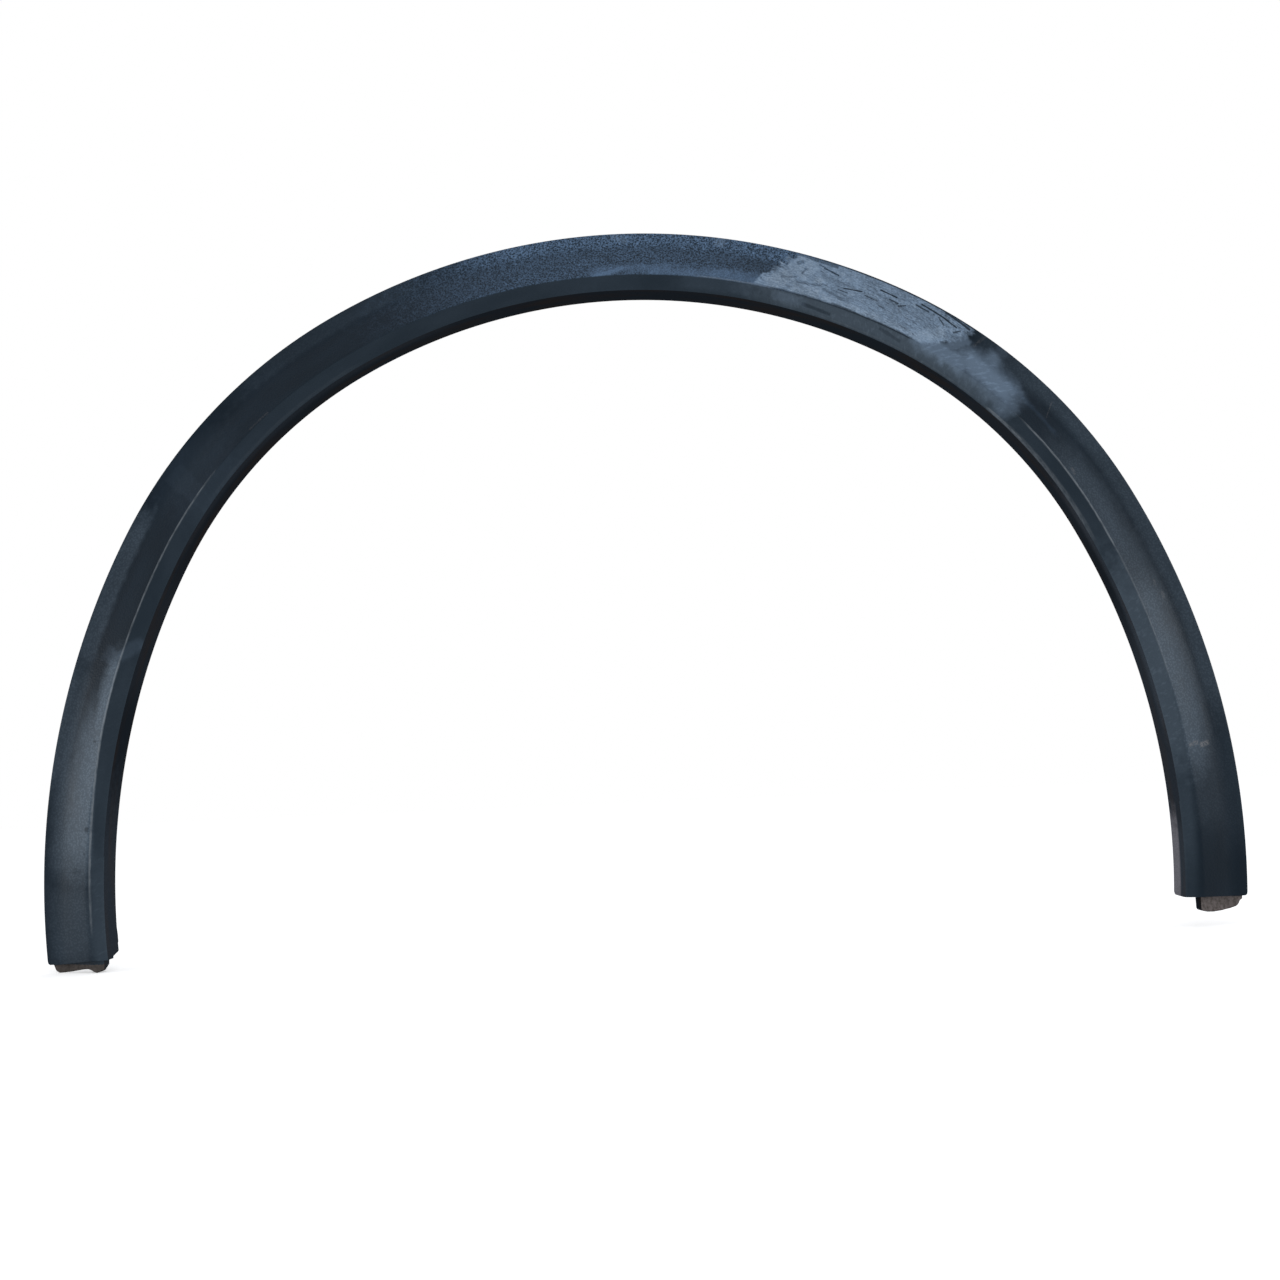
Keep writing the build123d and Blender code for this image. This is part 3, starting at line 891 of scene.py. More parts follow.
@dataclass(frozen=True)
class Tongue:
    """Hollow tongue under a cut end, open at the back and crusted with dried mud.

    Its lower edge is a line of insets and of drops under the cut end. The crust's lumps are pairs
    of waves, each with its share.
    """

    side: Side
    lower_edge: tuple[Point, ...]
    back_drop: float = 20.0
    back_slope: float = 1.5
    wall: float = 2.0
    gap: float = 0.6
    overlap: float = 0.05
    columns: int = 62
    rows: int = 20
    pocket_points: int = 24
    rounding: float = 0.9
    lump: float = 0.5
    lump_mean: float = 0.5
    lumps: tuple[tuple[float, Wave, Wave], ...] = (
        (0.3, Wave(0.55, 0.0, 1.3), Wave(0.4, 0.8, math.pi / 2)),
        (0.2, Wave(1.9, 2.1), Wave(-0.7, 1.3)),
    )

    def ends(self) -> Point:
        """Insets of the tongue's two ends."""
        return (self.lower_edge[0][0], self.lower_edge[-1][0])

    def drop(self, inset: float) -> float:
        """How far the lower edge lies under the cut end, at an inset."""
        return float(np.interp(inset, *zip(*self.lower_edge)))

    def lost(self, inset: float, drop: float) -> float:
        """Thickness that the uneven crust lacks at a place.

        Args:
            inset: Inset from the outer edge.
            drop: Drop under the cut end.

        Returns:
            The lost thickness.
        """
        share = self.lump_mean
        for part, first, second in self.lumps:
            share += part * first.at(inset, drop) * second.at(inset, drop)
        return self.lump * share

    def front(self, inset: float, section: Section, under: float) -> float:
        """Depth of a wall a distance under the soft face, always in front of the open back."""
        return min(section.under_face(1.0, inset, under), -section.recess - self.wall / 2)

    def point(self, line: ArchLine, inset: float, depth: float, drop: float) -> Place:
        """Point at an inset and a depth, a drop under the cut end."""
        height = line.end_height(self.side)
        return (self.side.value * (line.leg_across(0.0, height) - inset), depth, height - drop)

    def block(self, fade: Fade) -> Solid:
        """The tongue without its hollow, reaching up into the wall that closes the leg.

        Args:
            fade: The legs and how they are cut off.

        Returns:
            The block, with its uneven front.
        """
        line, section = fade.line, fade.section
        back = -section.recess - self.overlap
        under = section.wall + self.gap
        height = line.end_height(self.side)
        edge = line.leg_across(0.0, height)
        start, end = self.ends()
        rings = []
        for inset in np.linspace(start, end, self.columns + 1):
            low = self.drop(inset)
            rise = float(fade.cut(self.side, edge - inset)) - height + fade.end_wall / 2
            ring = []
            for share in np.linspace(0.0, 1.0, self.rows + 1):
                drop = between(-rise, low, share)
                lost = self.lost(inset, drop) if drop > 0.0 else 0.0
                lost += max(0.0, drop - low + self.rounding) ** 2 / self.rounding
                ring.append(self.point(line, inset, self.front(inset, section, under) + lost, drop))
            back_low = min(low, self.back_drop + self.back_slope * (end - inset))
            ring.append(self.point(line, inset, back, back_low))
            ring.append(self.point(line, inset, back, -rise))
            rings.append(ring)
        return Solid().loft(rings)

    def pocket(self, line: ArchLine, section: Section) -> Solid:
        """What is hollow in the tongue, a little longer than it at the open back.

        Args:
            line: Outer edge of the trim.
            section: Section of the moulding.

        Returns:
            The solid to cut away.
        """
        under = section.wall + self.gap + self.wall + self.lump
        open_back = -section.recess + self.wall
        start, end = self.ends()
        outline = []
        for inset in np.linspace(start + self.wall, end - self.wall, self.pocket_points):
            depth = section.under_face(1.0, inset, under)
            if depth < -section.recess - self.overlap and self.drop(inset) > 2 * self.wall:
                outline.append((inset, depth))
        low = min(self.drop(inset) for inset, _ in outline) - self.wall
        outline += [(outline[-1][0], open_back), (outline[0][0], open_back)]
        drops = (self.overlap, low)
        return Solid().loft([[self.point(line, *corner, drop) for corner in outline] for drop in drops])

    def solid(self, fade: Fade) -> Solid:
        """The hollow tongue.

        Args:
            fade: The legs and how they are cut off.

        Returns:
            The tongue as a closed solid.
        """
        block = self.block(fade).object("tongue")
        pocket = self.pocket(fade.line, fade.section).object("pocket")
        cut = block.modifiers.new("hollow", "BOOLEAN")
        cut.operation = "DIFFERENCE"
        cut.object = pocket
        cut.solver = "EXACT"
        draft = bmesh.new()
        draft.from_object(block, bpy.context.evaluated_depsgraph_get())
        bmesh.ops.scale(draft, vec=(1 / MM, 1 / MM, 1 / MM), verts=draft.verts)
        made = Solid.from_draft(draft)
        draft.free()
        for scrap in (block, pocket):
            bpy.data.meshes.remove(scrap.data)
        return made


def left_tongue() -> Tongue:
    """Describes the tongue under the left end.

    Returns:
        The tongue, with two lobes.
    """
    outer_lobe = ((5.2, 1.0), (5.9, 3.0), (6.8, 4.7), (9.2, 6.0), (13.0, 5.9), (18.8, 5.4), (26.0, 4.2))
    inner_lobe = ((30.3, 3.6), (34.0, 3.4), (36.6, 4.2), (39.0, 5.4), (41.5, 6.0), (44.0, 5.0), (46.4, 3.8))
    return Tongue(Side.LEFT, outer_lobe + inner_lobe, back_drop=0.8)


def right_tongue() -> Tongue:
    """Describes the tongue under the right end.

    Returns:
        The tongue, longer and slanted.
    """
    outer = ((4.6, 2.2), (6.4, 3.4), (7.6, 6.0), (9.4, 7.5), (14.0, 8.9), (20.0, 10.0), (28.0, 10.4))
    inner = ((33.0, 10.1), (36.4, 9.4), (38.0, 8.8), (38.8, 7.6))
    return Tongue(Side.RIGHT, outer + inner)


class Piece:
    """A piece of the trim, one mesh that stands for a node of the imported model."""

    node: ClassVar[str]
    slot: ClassVar[str]

    def hand_over(self, whole: Solid) -> bpy.types.Object:
        """Makes the finished solid the piece of the scene.

        Args:
            whole: The finished solid.

        Returns:
            The piece.
        """
        made = whole.object(self.node + "_dressed")
        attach(made, "root")
        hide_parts(self.node)
        return made


@dataclass
class ArchMoulding(Piece):
    """The moulding, one piece of plastic: skin, ends, tongues, tab and fixings."""

    line: ArchLine
    section: Section
    fade: Fade
    fixings: Fixings
    tongues: tuple[Tongue, ...]
    step: float = 2.2
    levels: int = 40
    end_steps: int = 24
    tab_start: float = 8.0
    tab_length: float = 18.0
    tab_reach: float = 1.6
    tab_root: float = 2.5
    tab_slant: float = 11.0
    tab_corner: float = 2.0
    tab_wall: float = 1.8
    edge: float = 0.3
    overlap: float = 0.05
    face_turn: float = -0.55
    node: ClassVar[str] = "arch_moulding"
    slot: ClassVar[str] = "textured_plastic"

    def leg_rows(self, side: Side) -> np.ndarray:
        """Signed headings of a leg's rows of points, down to its cut end.

        Args:
            side: Which leg.

        Returns:
            One row for each step down the leg, one column for each point of the section.
        """
        end = self.line.end_heading(side)
        outline = self.section.outline(self.fade.softness_at(side.value * end))
        ends = self.fade.end_headings(side, outline)
        steps = int(math.radians(end - self.fade.start) * self.line.leg_radius / self.step)
        shares = np.arange(1, steps + 1) / steps
        return side.value * (self.fade.start + shares[:, None] * (ends - self.fade.start))

    def skin(self) -> Solid:
        """The wall of the moulding from end to end.

        Returns:
            The wall, closed at both ends.
        """
        levels = np.linspace(0.0, 1.0, self.levels + 1)
        table = np.array([self.section.outline(level) for level in levels])
        columns = table.shape[1]
        run = 2 * math.radians(self.fade.start) * self.line.top_radius
        crisp = np.linspace(-self.fade.start, self.fade.start, int(run / self.step))
        middle = np.repeat(crisp[:, None], columns, axis=1)
        headings = np.concatenate([self.leg_rows(Side.LEFT)[::-1], middle, self.leg_rows(Side.RIGHT)])
        soft = self.fade.softness(headings)
        inset = np.empty_like(headings)
        depth = np.empty_like(headings)
        for column in range(columns):
            inset[:, column] = np.interp(soft[:, column], levels, table[:, column, 0])
            depth[:, column] = np.interp(soft[:, column], levels, table[:, column, 1])
        return Solid().loft(self.line.points(headings, inset, self.fade.tapered(headings, inset, depth)))

    def end_wall(self, side: Side) -> Solid:
        """Wall that closes the hollow at a cut end and follows its rounded corner.

        Args:
            side: Which leg.

        Returns:
            The wall, a little inside the cut.
        """
        under = self.section.wall / 2
        back = -self.section.recess
        outer, _, inner, _ = self.section.core(1.0, under)
        rings = []
        for inset in np.linspace(outer[0], inner[0], self.end_steps + 1):
            across = self.line.leg_across(inset, self.line.end_height(side))
            low = float(self.fade.cut(side, across)) + self.overlap
            high = low + self.fade.end_wall
            front = min(self.section.under_face(1.0, inset, under), back - self.overlap)
            corners = ((back, low), (front, low), (front, high), (back, high))
            rings.append([(side.value * across, depth, height) for depth, height in corners])
        return Solid().loft(rings)

    def tab(self) -> Solid:
        """Thin tab on the flange's edge, low on the left leg and slanted at its upper end.

        Returns:
            The tab.
        """
        half = self.tab_length / 2
        middle = self.line.end_height(Side.LEFT) + self.tab_start + half
        station = Station(self.line, -float(self.line.leg_heading(0.0, middle)))
        centre = self.section.band_width - self.section.flange_lean - self.section.wall / 2
        reach = self.section.flange_reach - self.fade.left_taper * self.fade.softness_at(station.heading)
        outline = [
            (-half, reach - self.tab_root),
            (half, reach - self.tab_root),
            (half, reach),
            (half - self.tab_slant, reach + self.tab_reach),
            (self.tab_corner - half, reach + self.tab_reach),
            (-half, reach),
        ]
        tab = station.upright(outline, centre - self.tab_wall / 2, centre + self.tab_wall / 2)
        return tab.softened(self.edge)

    def build(self) -> bpy.types.Object:
        """Builds the moulding.

        Returns:
            The moulding, with its arch coordinates and its mud kept as attributes.
        """
        whole = self.skin()
        solids = self.fixings.solids() + [self.end_wall(side) for side in Side]
        solids += [tongue.solid(self.fade) for tongue in self.tongues] + [self.tab()]
        for solid in solids:
            whole.add(solid)
        made = self.hand_over(whole)
        self.keep_places(made.data)
        return made

    def keep_places(self, mesh: bpy.types.Mesh) -> None:
        """Writes the arch coordinates, in millimetres, and the muddy share of each point.

        Args:
            mesh: Mesh of the moulding.
        """
        points = read_vectors(mesh.vertices, "co") / MM
        across = np.abs(points[:, 0])
        left, right = self.fade.cut(Side.LEFT, across), self.fade.cut(Side.RIGHT, across)
        ends = np.where(points[:, 0] < 0, left, right)
        mud = np.clip((ends - points[:, 2]) / self.edge, 0.0, 1.0)
        arch = mesh.attributes.new(ARCH_ATTRIBUTE, "FLOAT_VECTOR", "POINT")
        arch.data.foreach_set("vector", self.line.coordinates(points).astype(np.float32).ravel())
        muddy = mesh.attributes.new(MUD_ATTRIBUTE, "FLOAT", "POINT")
        muddy.data.foreach_set("value", mud.astype(np.float32))

    def dress(self, made: bpy.types.Object, face: bpy.types.Material, back: bpy.types.Material) -> None:
        """Gives the outside one finish, and the flange, the hidden side and the tongues another.

        Args:
            made: The moulding.
            face: Finish of the outside.
            back: Finish of the rest.
        """
        mesh = made.data
        mesh.materials.append(face)
        mesh.materials.append(back)
        turns = read_vectors(mesh.polygons, "normal")[:, 1]
        across, depth, height = read_vectors(mesh.polygons, "center").T / MM
        left, right = self.line.end_height(Side.LEFT), self.line.end_height(Side.RIGHT)
        above = height > np.where(across < 0, left, right)
        outside = above & (turns < self.face_turn) & (depth < -self.section.lip_height / 4)
        mesh.polygons.foreach_set("material_index", np.where(outside, 0, 1).astype(np.int32))


def read_vectors(items: bpy.types.bpy_prop_collection, name: str) -> np.ndarray:
    """Reads a vector of each point or face of a mesh.

    Args:
        items: Points or faces.
        name: Name of the vector.

    Returns:
        One row for each of them.
    """
    found = np.empty(len(items) * 3)
    items.foreach_get(name, found)
    return found.reshape(-1, 3)


@dataclass
class PushClips(Piece):
    """The ten push clips, each a foot, a neck, a sealing collar and an arrow head."""

    line: ArchLine
    fixings: Fixings
    seat_clearance: float = 0.15
    foot_width: float = 12.0
    foot_thickness: float = 1.8
    foot_chamfer: float = 2.0
    neck_width: float = 6.0
    collar_radius: float = 8.0
    collar_thickness: float = 1.2
    collar_steps: int = 40
    head_thickness: float = 5.0
    stem_width: float = 2.4
    barb_width: float = 9.6
    barb_wall: float = 1.3
    barb_foot: float = 1.6
    barb_peak: float = 5.0
    barb_pull_in: float = 1.2
    point_thickness: float = 3.9
    head_length: float = 15.5
    edge: float = 0.22
    overlap: float = 0.1
    node: ClassVar[str] = "push_clips"
    slot: ClassVar[str] = "clip_nylon"

    def head(self) -> list[Point]:
        """Outline of the arrow head.

        Returns:
            Its corners as distance across and depth.
        """
        stem = self.stem_width / 2
        peak = self.barb_width / 2
        foot = peak - self.barb_pull_in
        half = [
            (stem, self.seat_clearance - self.fixings.section.recess),
            (stem, self.head_length - self.point_thickness),
            (peak - self.barb_wall, self.barb_peak),
            (foot - self.barb_wall, self.barb_foot),
            (foot, self.barb_foot),
            (peak, self.barb_peak),
            (stem, self.head_length),
        ]
        return half + [(-across, depth) for across, depth in reversed(half)]

    def clip(self, along: float) -> list[Solid]:
        """One clip in its tower.

        Args:
            along: Distance along the edge.

        Returns:
            Foot, neck, collar and head.
        """
        station = Station(self.line, self.line.heading_at(along))
        middle = self.line.pin_inset
        recess = self.fixings.section.recess
        foot_top = -recess - self.fixings.plate_thickness - self.seat_clearance
        collar_foot = -recess + self.seat_clearance
        half, cut = self.foot_width / 2, self.foot_width / 2 - self.foot_chamfer
        foot = [(half, cut), (cut, half), (-cut, half), (-half, cut)]
        foot += [(-across, -aside) for across, aside in foot]
        side = self.neck_width / 2
        neck = [(side, side), (-side, side), (-side, -side), (side, -side)]
        collar = circle(self.collar_radius, self.collar_steps)
        slabs = (
            (foot, foot_top, foot_top - self.foot_thickness),
            (neck, collar_foot + self.overlap, foot_top - self.overlap),
            (collar, collar_foot, collar_foot + self.collar_thickness),
        )
        made = []
        for outline, shallow, deep in slabs:
            made.append(station.flat([(middle + inset, aside) for inset, aside in outline], shallow, deep))
        reach = self.head_thickness / 2
        made.append(station.across([(middle + inset, depth) for inset, depth in self.head()], -reach, reach))
        return [solid.softened(self.edge) for solid in made]

    def build(self) -> bpy.types.Object:
        """Builds all the clips as one piece.

        Returns:
            The clips.
        """
        whole = Solid()
        for along in self.fixings.clip_places():
            for solid in self.clip(along):
                whole.add(solid)
        return self.hand_over(whole)

    def dress(self, made: bpy.types.Object, finish: bpy.types.Material) -> None:
        """Gives the clips their finish."""
        made.data.materials.append(finish)


class Range(NamedTuple):
    """How a value is mapped: where it starts and ends, and what it becomes there."""

    start: float
    end: float
    low: float = 0.0
    high: float = 1.0


class Noise(NamedTuple):
    """Noise: its cycles per millimetre, all ways alike or along, across and in depth; octaves; turn."""

    scale: Value
    detail: float
    turn: float = 0.0


class Pattern(NamedTuple):
    """Noise and how it is mapped."""

    noise: Noise
    span: Range


class Strokes(NamedTuple):
    """How a film was wiped: cycles per millimetre over and along the strokes, their turn and cover."""

    over: float
    lengthwise: float
    turn: float
    share: float
    sharpness: float
    least: float


class Strands(NamedTuple):
    """Thin winding strands: cycles per millimetre along and across, turn, and width in cycles.

    They break off in a noise that is drawn from their own by two factors.
    """

    along: float
    across: float
    turn: float
    width: float
    detail: float = 3.0
    break_along: float = 2.5
    break_across: float = 0.7
    break_detail: float = 2.0
    breaks: Range = Range(0.47, 0.57)


@dataclass(frozen=True)
class Mark:
    """A mark on the face, in arch coordinates, millimetres and degrees.

    Its edges fade out over the softness, its ends over the fade or, where that is 0, the softness.
    """

    along: float
    across: float
    half_length: float
    half_width: float
    slant: float = 0.0
    softness: float = 1.5
    ragged: float = 3.0
    strength: float = 1.0
    fade: float = 0.0


class Graph:
    """Short-hand for building a node tree."""

    def __init__(self, tree: bpy.types.NodeTree) -> None:
        """Opens a tree for building."""
        self.tree = tree

    def put(self, socket: Socket, value: Value) -> None:
        """Links a socket to another, or sets its value.

        Args:
            socket: The socket.
            value: The other socket, or the value.
        """
        if isinstance(value, bpy.types.NodeSocket):
            self.tree.links.new(value, socket)
        else:
            socket.default_value = value

    def fill(self, node: bpy.types.Node, **values: object) -> bpy.types.Node:
        """Sets properties of a node, and links or sets its inputs.

        Args:
            node: The node.
            values: Properties by name, and inputs by name with a capital and underscores for spaces.

        Returns:
            The node.
        """
        for name, value in values.items():
            if name[0].isupper():
                self.put(node.inputs[name.replace("_", " ")], value)
            else:
                setattr(node, name, value)
        return node

    def node(self, kind: str, **values: object) -> bpy.types.Node:
        """Adds a node with given properties and inputs."""
        return self.fill(self.tree.nodes.new(kind), **values)

    def group(self, tree: bpy.types.NodeTree, **values: Value) -> Socket:
        """Places a node group with given inputs, and gives its output."""
        return self.node("ShaderNodeGroup", node_tree=tree, **values).outputs[0]

    def attribute(self, name: str, output: str) -> Socket:
        """Reads an attribute of the mesh."""
        return self.node("ShaderNodeAttribute", attribute_name=name).outputs[output]

    def split(self, vector: Socket) -> tuple[Socket, ...]:
        """Splits a vector into its three parts."""
        return tuple(self.node("ShaderNodeSeparateXYZ", Vector=vector).outputs)

    def math(self, operation: str, first: Value, second: Value = 0.0) -> Socket:
        """Adds a sum of one or two values.

        Args:
            operation: Blender's name of the operation.
            first: First value or socket.
            second: Second value or socket.

        Returns:
            The result.
        """
        made = self.node("ShaderNodeMath", operation=operation)
        self.put(made.inputs[0], first)
        self.put(made.inputs[1], second)
        return made.outputs[0]

    def product(self, *values: Value) -> Socket:
        """Multiplies values."""
        return reduce(lambda whole, value: self.math("MULTIPLY", whole, value), values)

    def most(self, *values: Value) -> Socket:
        """Takes the greatest of values."""
        return reduce(lambda whole, value: self.math("MAXIMUM", whole, value), values)

    def less(self, mask: Socket) -> Socket:
        """What a mask leaves of 1."""
        return self.math("SUBTRACT", 1.0, mask)

    def span(self, value: Value, start: Value, end: Value, low: Value = 0.0, high: Value = 1.0) -> Socket:
        """Maps a value smoothly to another range, start to low and end to high."""
        made = self.node("ShaderNodeMapRange", interpolation_type="SMOOTHSTEP", Value=value)
        return self.fill(made, From_Min=start, From_Max=end, To_Min=low, To_Max=high).outputs[0]

    def stretched(self, place: Socket, scale: Place, turn: float) -> Socket:
        """Scales a place, and turns it in the face by degrees, so that noise read there is drawn out."""
        sizes = {"Rotation": (0.0, 0.0, math.radians(turn)), "Scale": tuple(1.0 / value for value in scale)}
        return self.node("ShaderNodeMapping", vector_type="TEXTURE", Vector=place, **sizes).outputs[0]

    def noise(self, place: Socket, noise: Noise) -> Socket:
        """Adds noise between 0 and 1.

        Args:
            place: Place to read it at.
            noise: Its scale and detail.

        Returns:
            The noise.
        """
        scale = noise.scale
        if isinstance(scale, tuple):
            place, scale = self.stretched(place, scale, noise.turn), 1.0
        made = self.node("ShaderNodeTexNoise", Vector=place, Scale=scale, Detail=noise.detail)
        return made.outputs["Fac"]

    def wobble(self, place: Socket, noise: Noise) -> Socket:
        """Noise about 0."""
        return self.math("SUBTRACT", self.noise(place, noise), 0.5)

    def blend(self, share: Value, first: Value, second: Value) -> Socket:
        """Blends two colours by the share of the second."""
        return self.node("ShaderNodeMix", data_type="RGBA", Factor=share, A=first, B=second).outputs["Result"]

    def layered(self, colour: Value, layers: tuple[tuple[Socket, Value], ...]) -> Socket:
        """Lays colours, each with its mask, over a colour."""
        return reduce(lambda under, layer: self.blend(layer[0], under, layer[1]), layers, colour)

    def bump(self, height: Socket, strength: float, distance: float) -> Socket:
        """Normal of a bumped surface, with the millimetres that a height of 1 stands for."""
        made = self.node("ShaderNodeBump", Height=height, Strength=strength, Distance=distance * MM)
        return made.outputs[0]


def new_group(
    name: str, inputs: dict[str, str], output: tuple[str, str]
) -> tuple[Graph, dict[str, Socket], Socket]:
    """Starts a shader node group.

    Args:
        name: Name of the group.
        inputs: Type of each input by name.
        output: Name and type of its output.

    Returns:
        The open tree, the inputs as sockets by name, and the socket of the output.
    """
    tree = bpy.data.node_groups.new(name, "ShaderNodeTree")
    for title, kind in inputs.items():
        tree.interface.new_socket(title, in_out="INPUT", socket_type=kind)
    tree.interface.new_socket(output[0], in_out="OUTPUT", socket_type=output[1])
    graph = Graph(tree)
    given = {socket.name: socket for socket in graph.node("NodeGroupInput").outputs}
    return graph, given, graph.node("NodeGroupOutput").inputs[0]


class Effects:
    """Node groups that the finishes share."""

    ragged_edge: Noise = Noise(0.16, 4.0)
    pebble_smoothness: float = 0.6
    pebble_height: Range = Range(0.1, 0.75, 1.0, 0.0)
    pebble_share: float = 0.75
    fine_cycles: float = 3.0
    fine_detail: float = 1.0
    streaks_noise: Noise = Noise(1.0, 4.0)

    def __init__(self) -> None:
        """Builds each group once."""
        self.patch = self.patch_group()
        self.grain = self.grain_group()
        self.streaks = self.streaks_group()

    def patch_group(self) -> bpy.types.NodeTree:
        """Mask of a patch on the face: a turned rectangle with soft and ragged edges.

        Returns:
            The group.
        """
        names = ("Along", "Across", "Half Length", "Half Width", "Slant", "Softness", "Fade", "Ragged")
        kinds = {"Place": VECTOR} | {name: NUMBER for name in names}
        graph, given, out = new_group("soft_patch", kinds, ("Mask", NUMBER))
        along, across, _ = graph.split(given["Place"])
        aside = graph.math("SUBTRACT", along, given["Along"])
        over = graph.math("SUBTRACT", across, given["Across"])
        turn = graph.math("RADIANS", given["Slant"])
        cos, sin = graph.math("COSINE", turn), graph.math("SINE", turn)
        length = graph.math("ADD", graph.product(aside, cos), graph.product(over, sin))
        width = graph.math("SUBTRACT", graph.product(over, cos), graph.product(aside, sin))
        squares = []
        for value, half, soft in ((length, "Half Length", "Fade"), (width, "Half Width", "Softness")):
            outside = graph.math("SUBTRACT", graph.math("ABSOLUTE", value), given[half])
            share = graph.math("DIVIDE", graph.math("MAXIMUM", outside, 0.0), given[soft])
            squares.append(graph.product(share, share))
        distance = graph.math("SQRT", graph.math("ADD", *squares))
        wobble = graph.product(graph.wobble(given["Place"], self.ragged_edge), given["Ragged"])
        ragged = graph.math("DIVIDE", wobble, given["Softness"])
        graph.put(out, graph.span(graph.math("ADD", distance, ragged), 0.0, 1.0, 1.0, 0.0))
        return graph.tree

    def grain_group(self) -> bpy.types.NodeTree:
        """Height of a moulded pebble grain, with a finer grain over it.

        Returns:
            The group.
        """
        graph, given, out = new_group("pebble_grain", {"Place": VECTOR, "Size": NUMBER}, ("Height", NUMBER))
        scale = graph.math("DIVIDE", 1.0, given["Size"])
        cells = graph.node("ShaderNodeTexVoronoi", feature="SMOOTH_F1", Vector=given["Place"], Scale=scale)
        graph.fill(cells, Smoothness=self.pebble_smoothness)
        pebbles = graph.span(cells.outputs["Distance"], *self.pebble_height)
        fine = graph.noise(given["Place"], Noise(graph.product(scale, self.fine_cycles), self.fine_detail))
        coarse_part = graph.product(pebbles, self.pebble_share)
        graph.put(out, graph.math("ADD", coarse_part, graph.product(fine, 1.0 - self.pebble_share)))
        return graph.tree

    def streaks_group(self) -> bpy.types.NodeTree:
        """Mask of fine wiped streaks, drawn out along a place that is already stretched.

        Returns:
            The group.
        """
        kinds = {"Place": VECTOR, "Share": NUMBER, "Sharpness": NUMBER}
        graph, given, out = new_group("wiped_streaks", kinds, ("Mask", NUMBER))
        lines = graph.noise(given["Place"], self.streaks_noise)
        start = graph.less(given["Share"])
        graph.put(out, graph.span(lines, start, graph.math("ADD", start, given["Sharpness"])))
        return graph.tree


class Paint(Graph):
    """A material with a principled shader, and its open tree."""

    def __init__(self, name: str) -> None:
        """Starts the material.

        Args:
            name: Name of the material.
        """
        self.material = bpy.data.materials.new(name)
        self.material.use_nodes = True
        super().__init__(self.material.node_tree)

    def shade(self, **values: Value) -> None:
        """Links or sets inputs of the shader, named with underscores for spaces."""
        self.fill(self.tree.nodes["Principled BSDF"], **values)


class Coat(Paint):
    """A finish of the trim, with the shared effects and the place that they are read at."""

    place: Socket

    def __init__(self, name: str, effects: Effects) -> None:
        """Starts the finish."""
        super().__init__(name)
        self.effects = effects

    def grain(self, size: float) -> Socket:
        """Height of the moulded grain, with pebbles of a size."""
        return self.group(self.effects.grain, Place=self.place, Size=size)

    def pattern(self, pattern: Pattern) -> Socket:
        """Noise, mapped."""
        return self.span(self.noise(self.place, pattern.noise), *pattern.span)

    def marks(self, marks: tuple[Mark, ...]) -> Socket:
        """Mask of a list of marks, the strongest at each place.

        Args:
            marks: The marks.

        Returns:
            The mask.
        """
        masks = []
        # The inputs of the group have the names of a mark's fields.
        for mark in marks:
            sizes = {name.title(): size for name, size in vars(mark).items() if name != "strength"}
            sizes["Fade"] = mark.fade or mark.softness
            mask = self.group(self.effects.patch, Place=self.place, **sizes)
            masks.append(self.product(mask, mark.strength))
        return self.most(*masks)

    def wiped(self, strokes: Strokes) -> Socket:
        """Share of a film that wiping left.

        Args:
            strokes: How it was wiped.

        Returns:
            The share, from the least one in the strokes to 1 beside them.
        """
        scale = (strokes.over, strokes.lengthwise, strokes.over)
        place = self.stretched(self.place, scale, strokes.turn)
        mask = self.group(self.effects.streaks, Place=place, Share=strokes.share, Sharpness=strokes.sharpness)
        return self.span(mask, 0.0, 1.0, strokes.least, 1.0)

    def strands(self, strands: Strands) -> Socket:
        """Mask of thin strands, which wind along the face and break off.

        Args:
            strands: How they run.

        Returns:
            The mask.
        """
        along, across = strands.along, strands.across
        flow = Noise((along, across, across), strands.detail, strands.turn)
        off = self.math("ABSOLUTE", self.wobble(self.place, flow))
        scale = (strands.break_along * along, strands.break_across * across, across)
        breaks = self.noise(self.place, Noise(scale, strands.break_detail))
        return self.product(self.span(off, 0.0, strands.width, 1.0, 0.0), self.span(breaks, *strands.breaks))


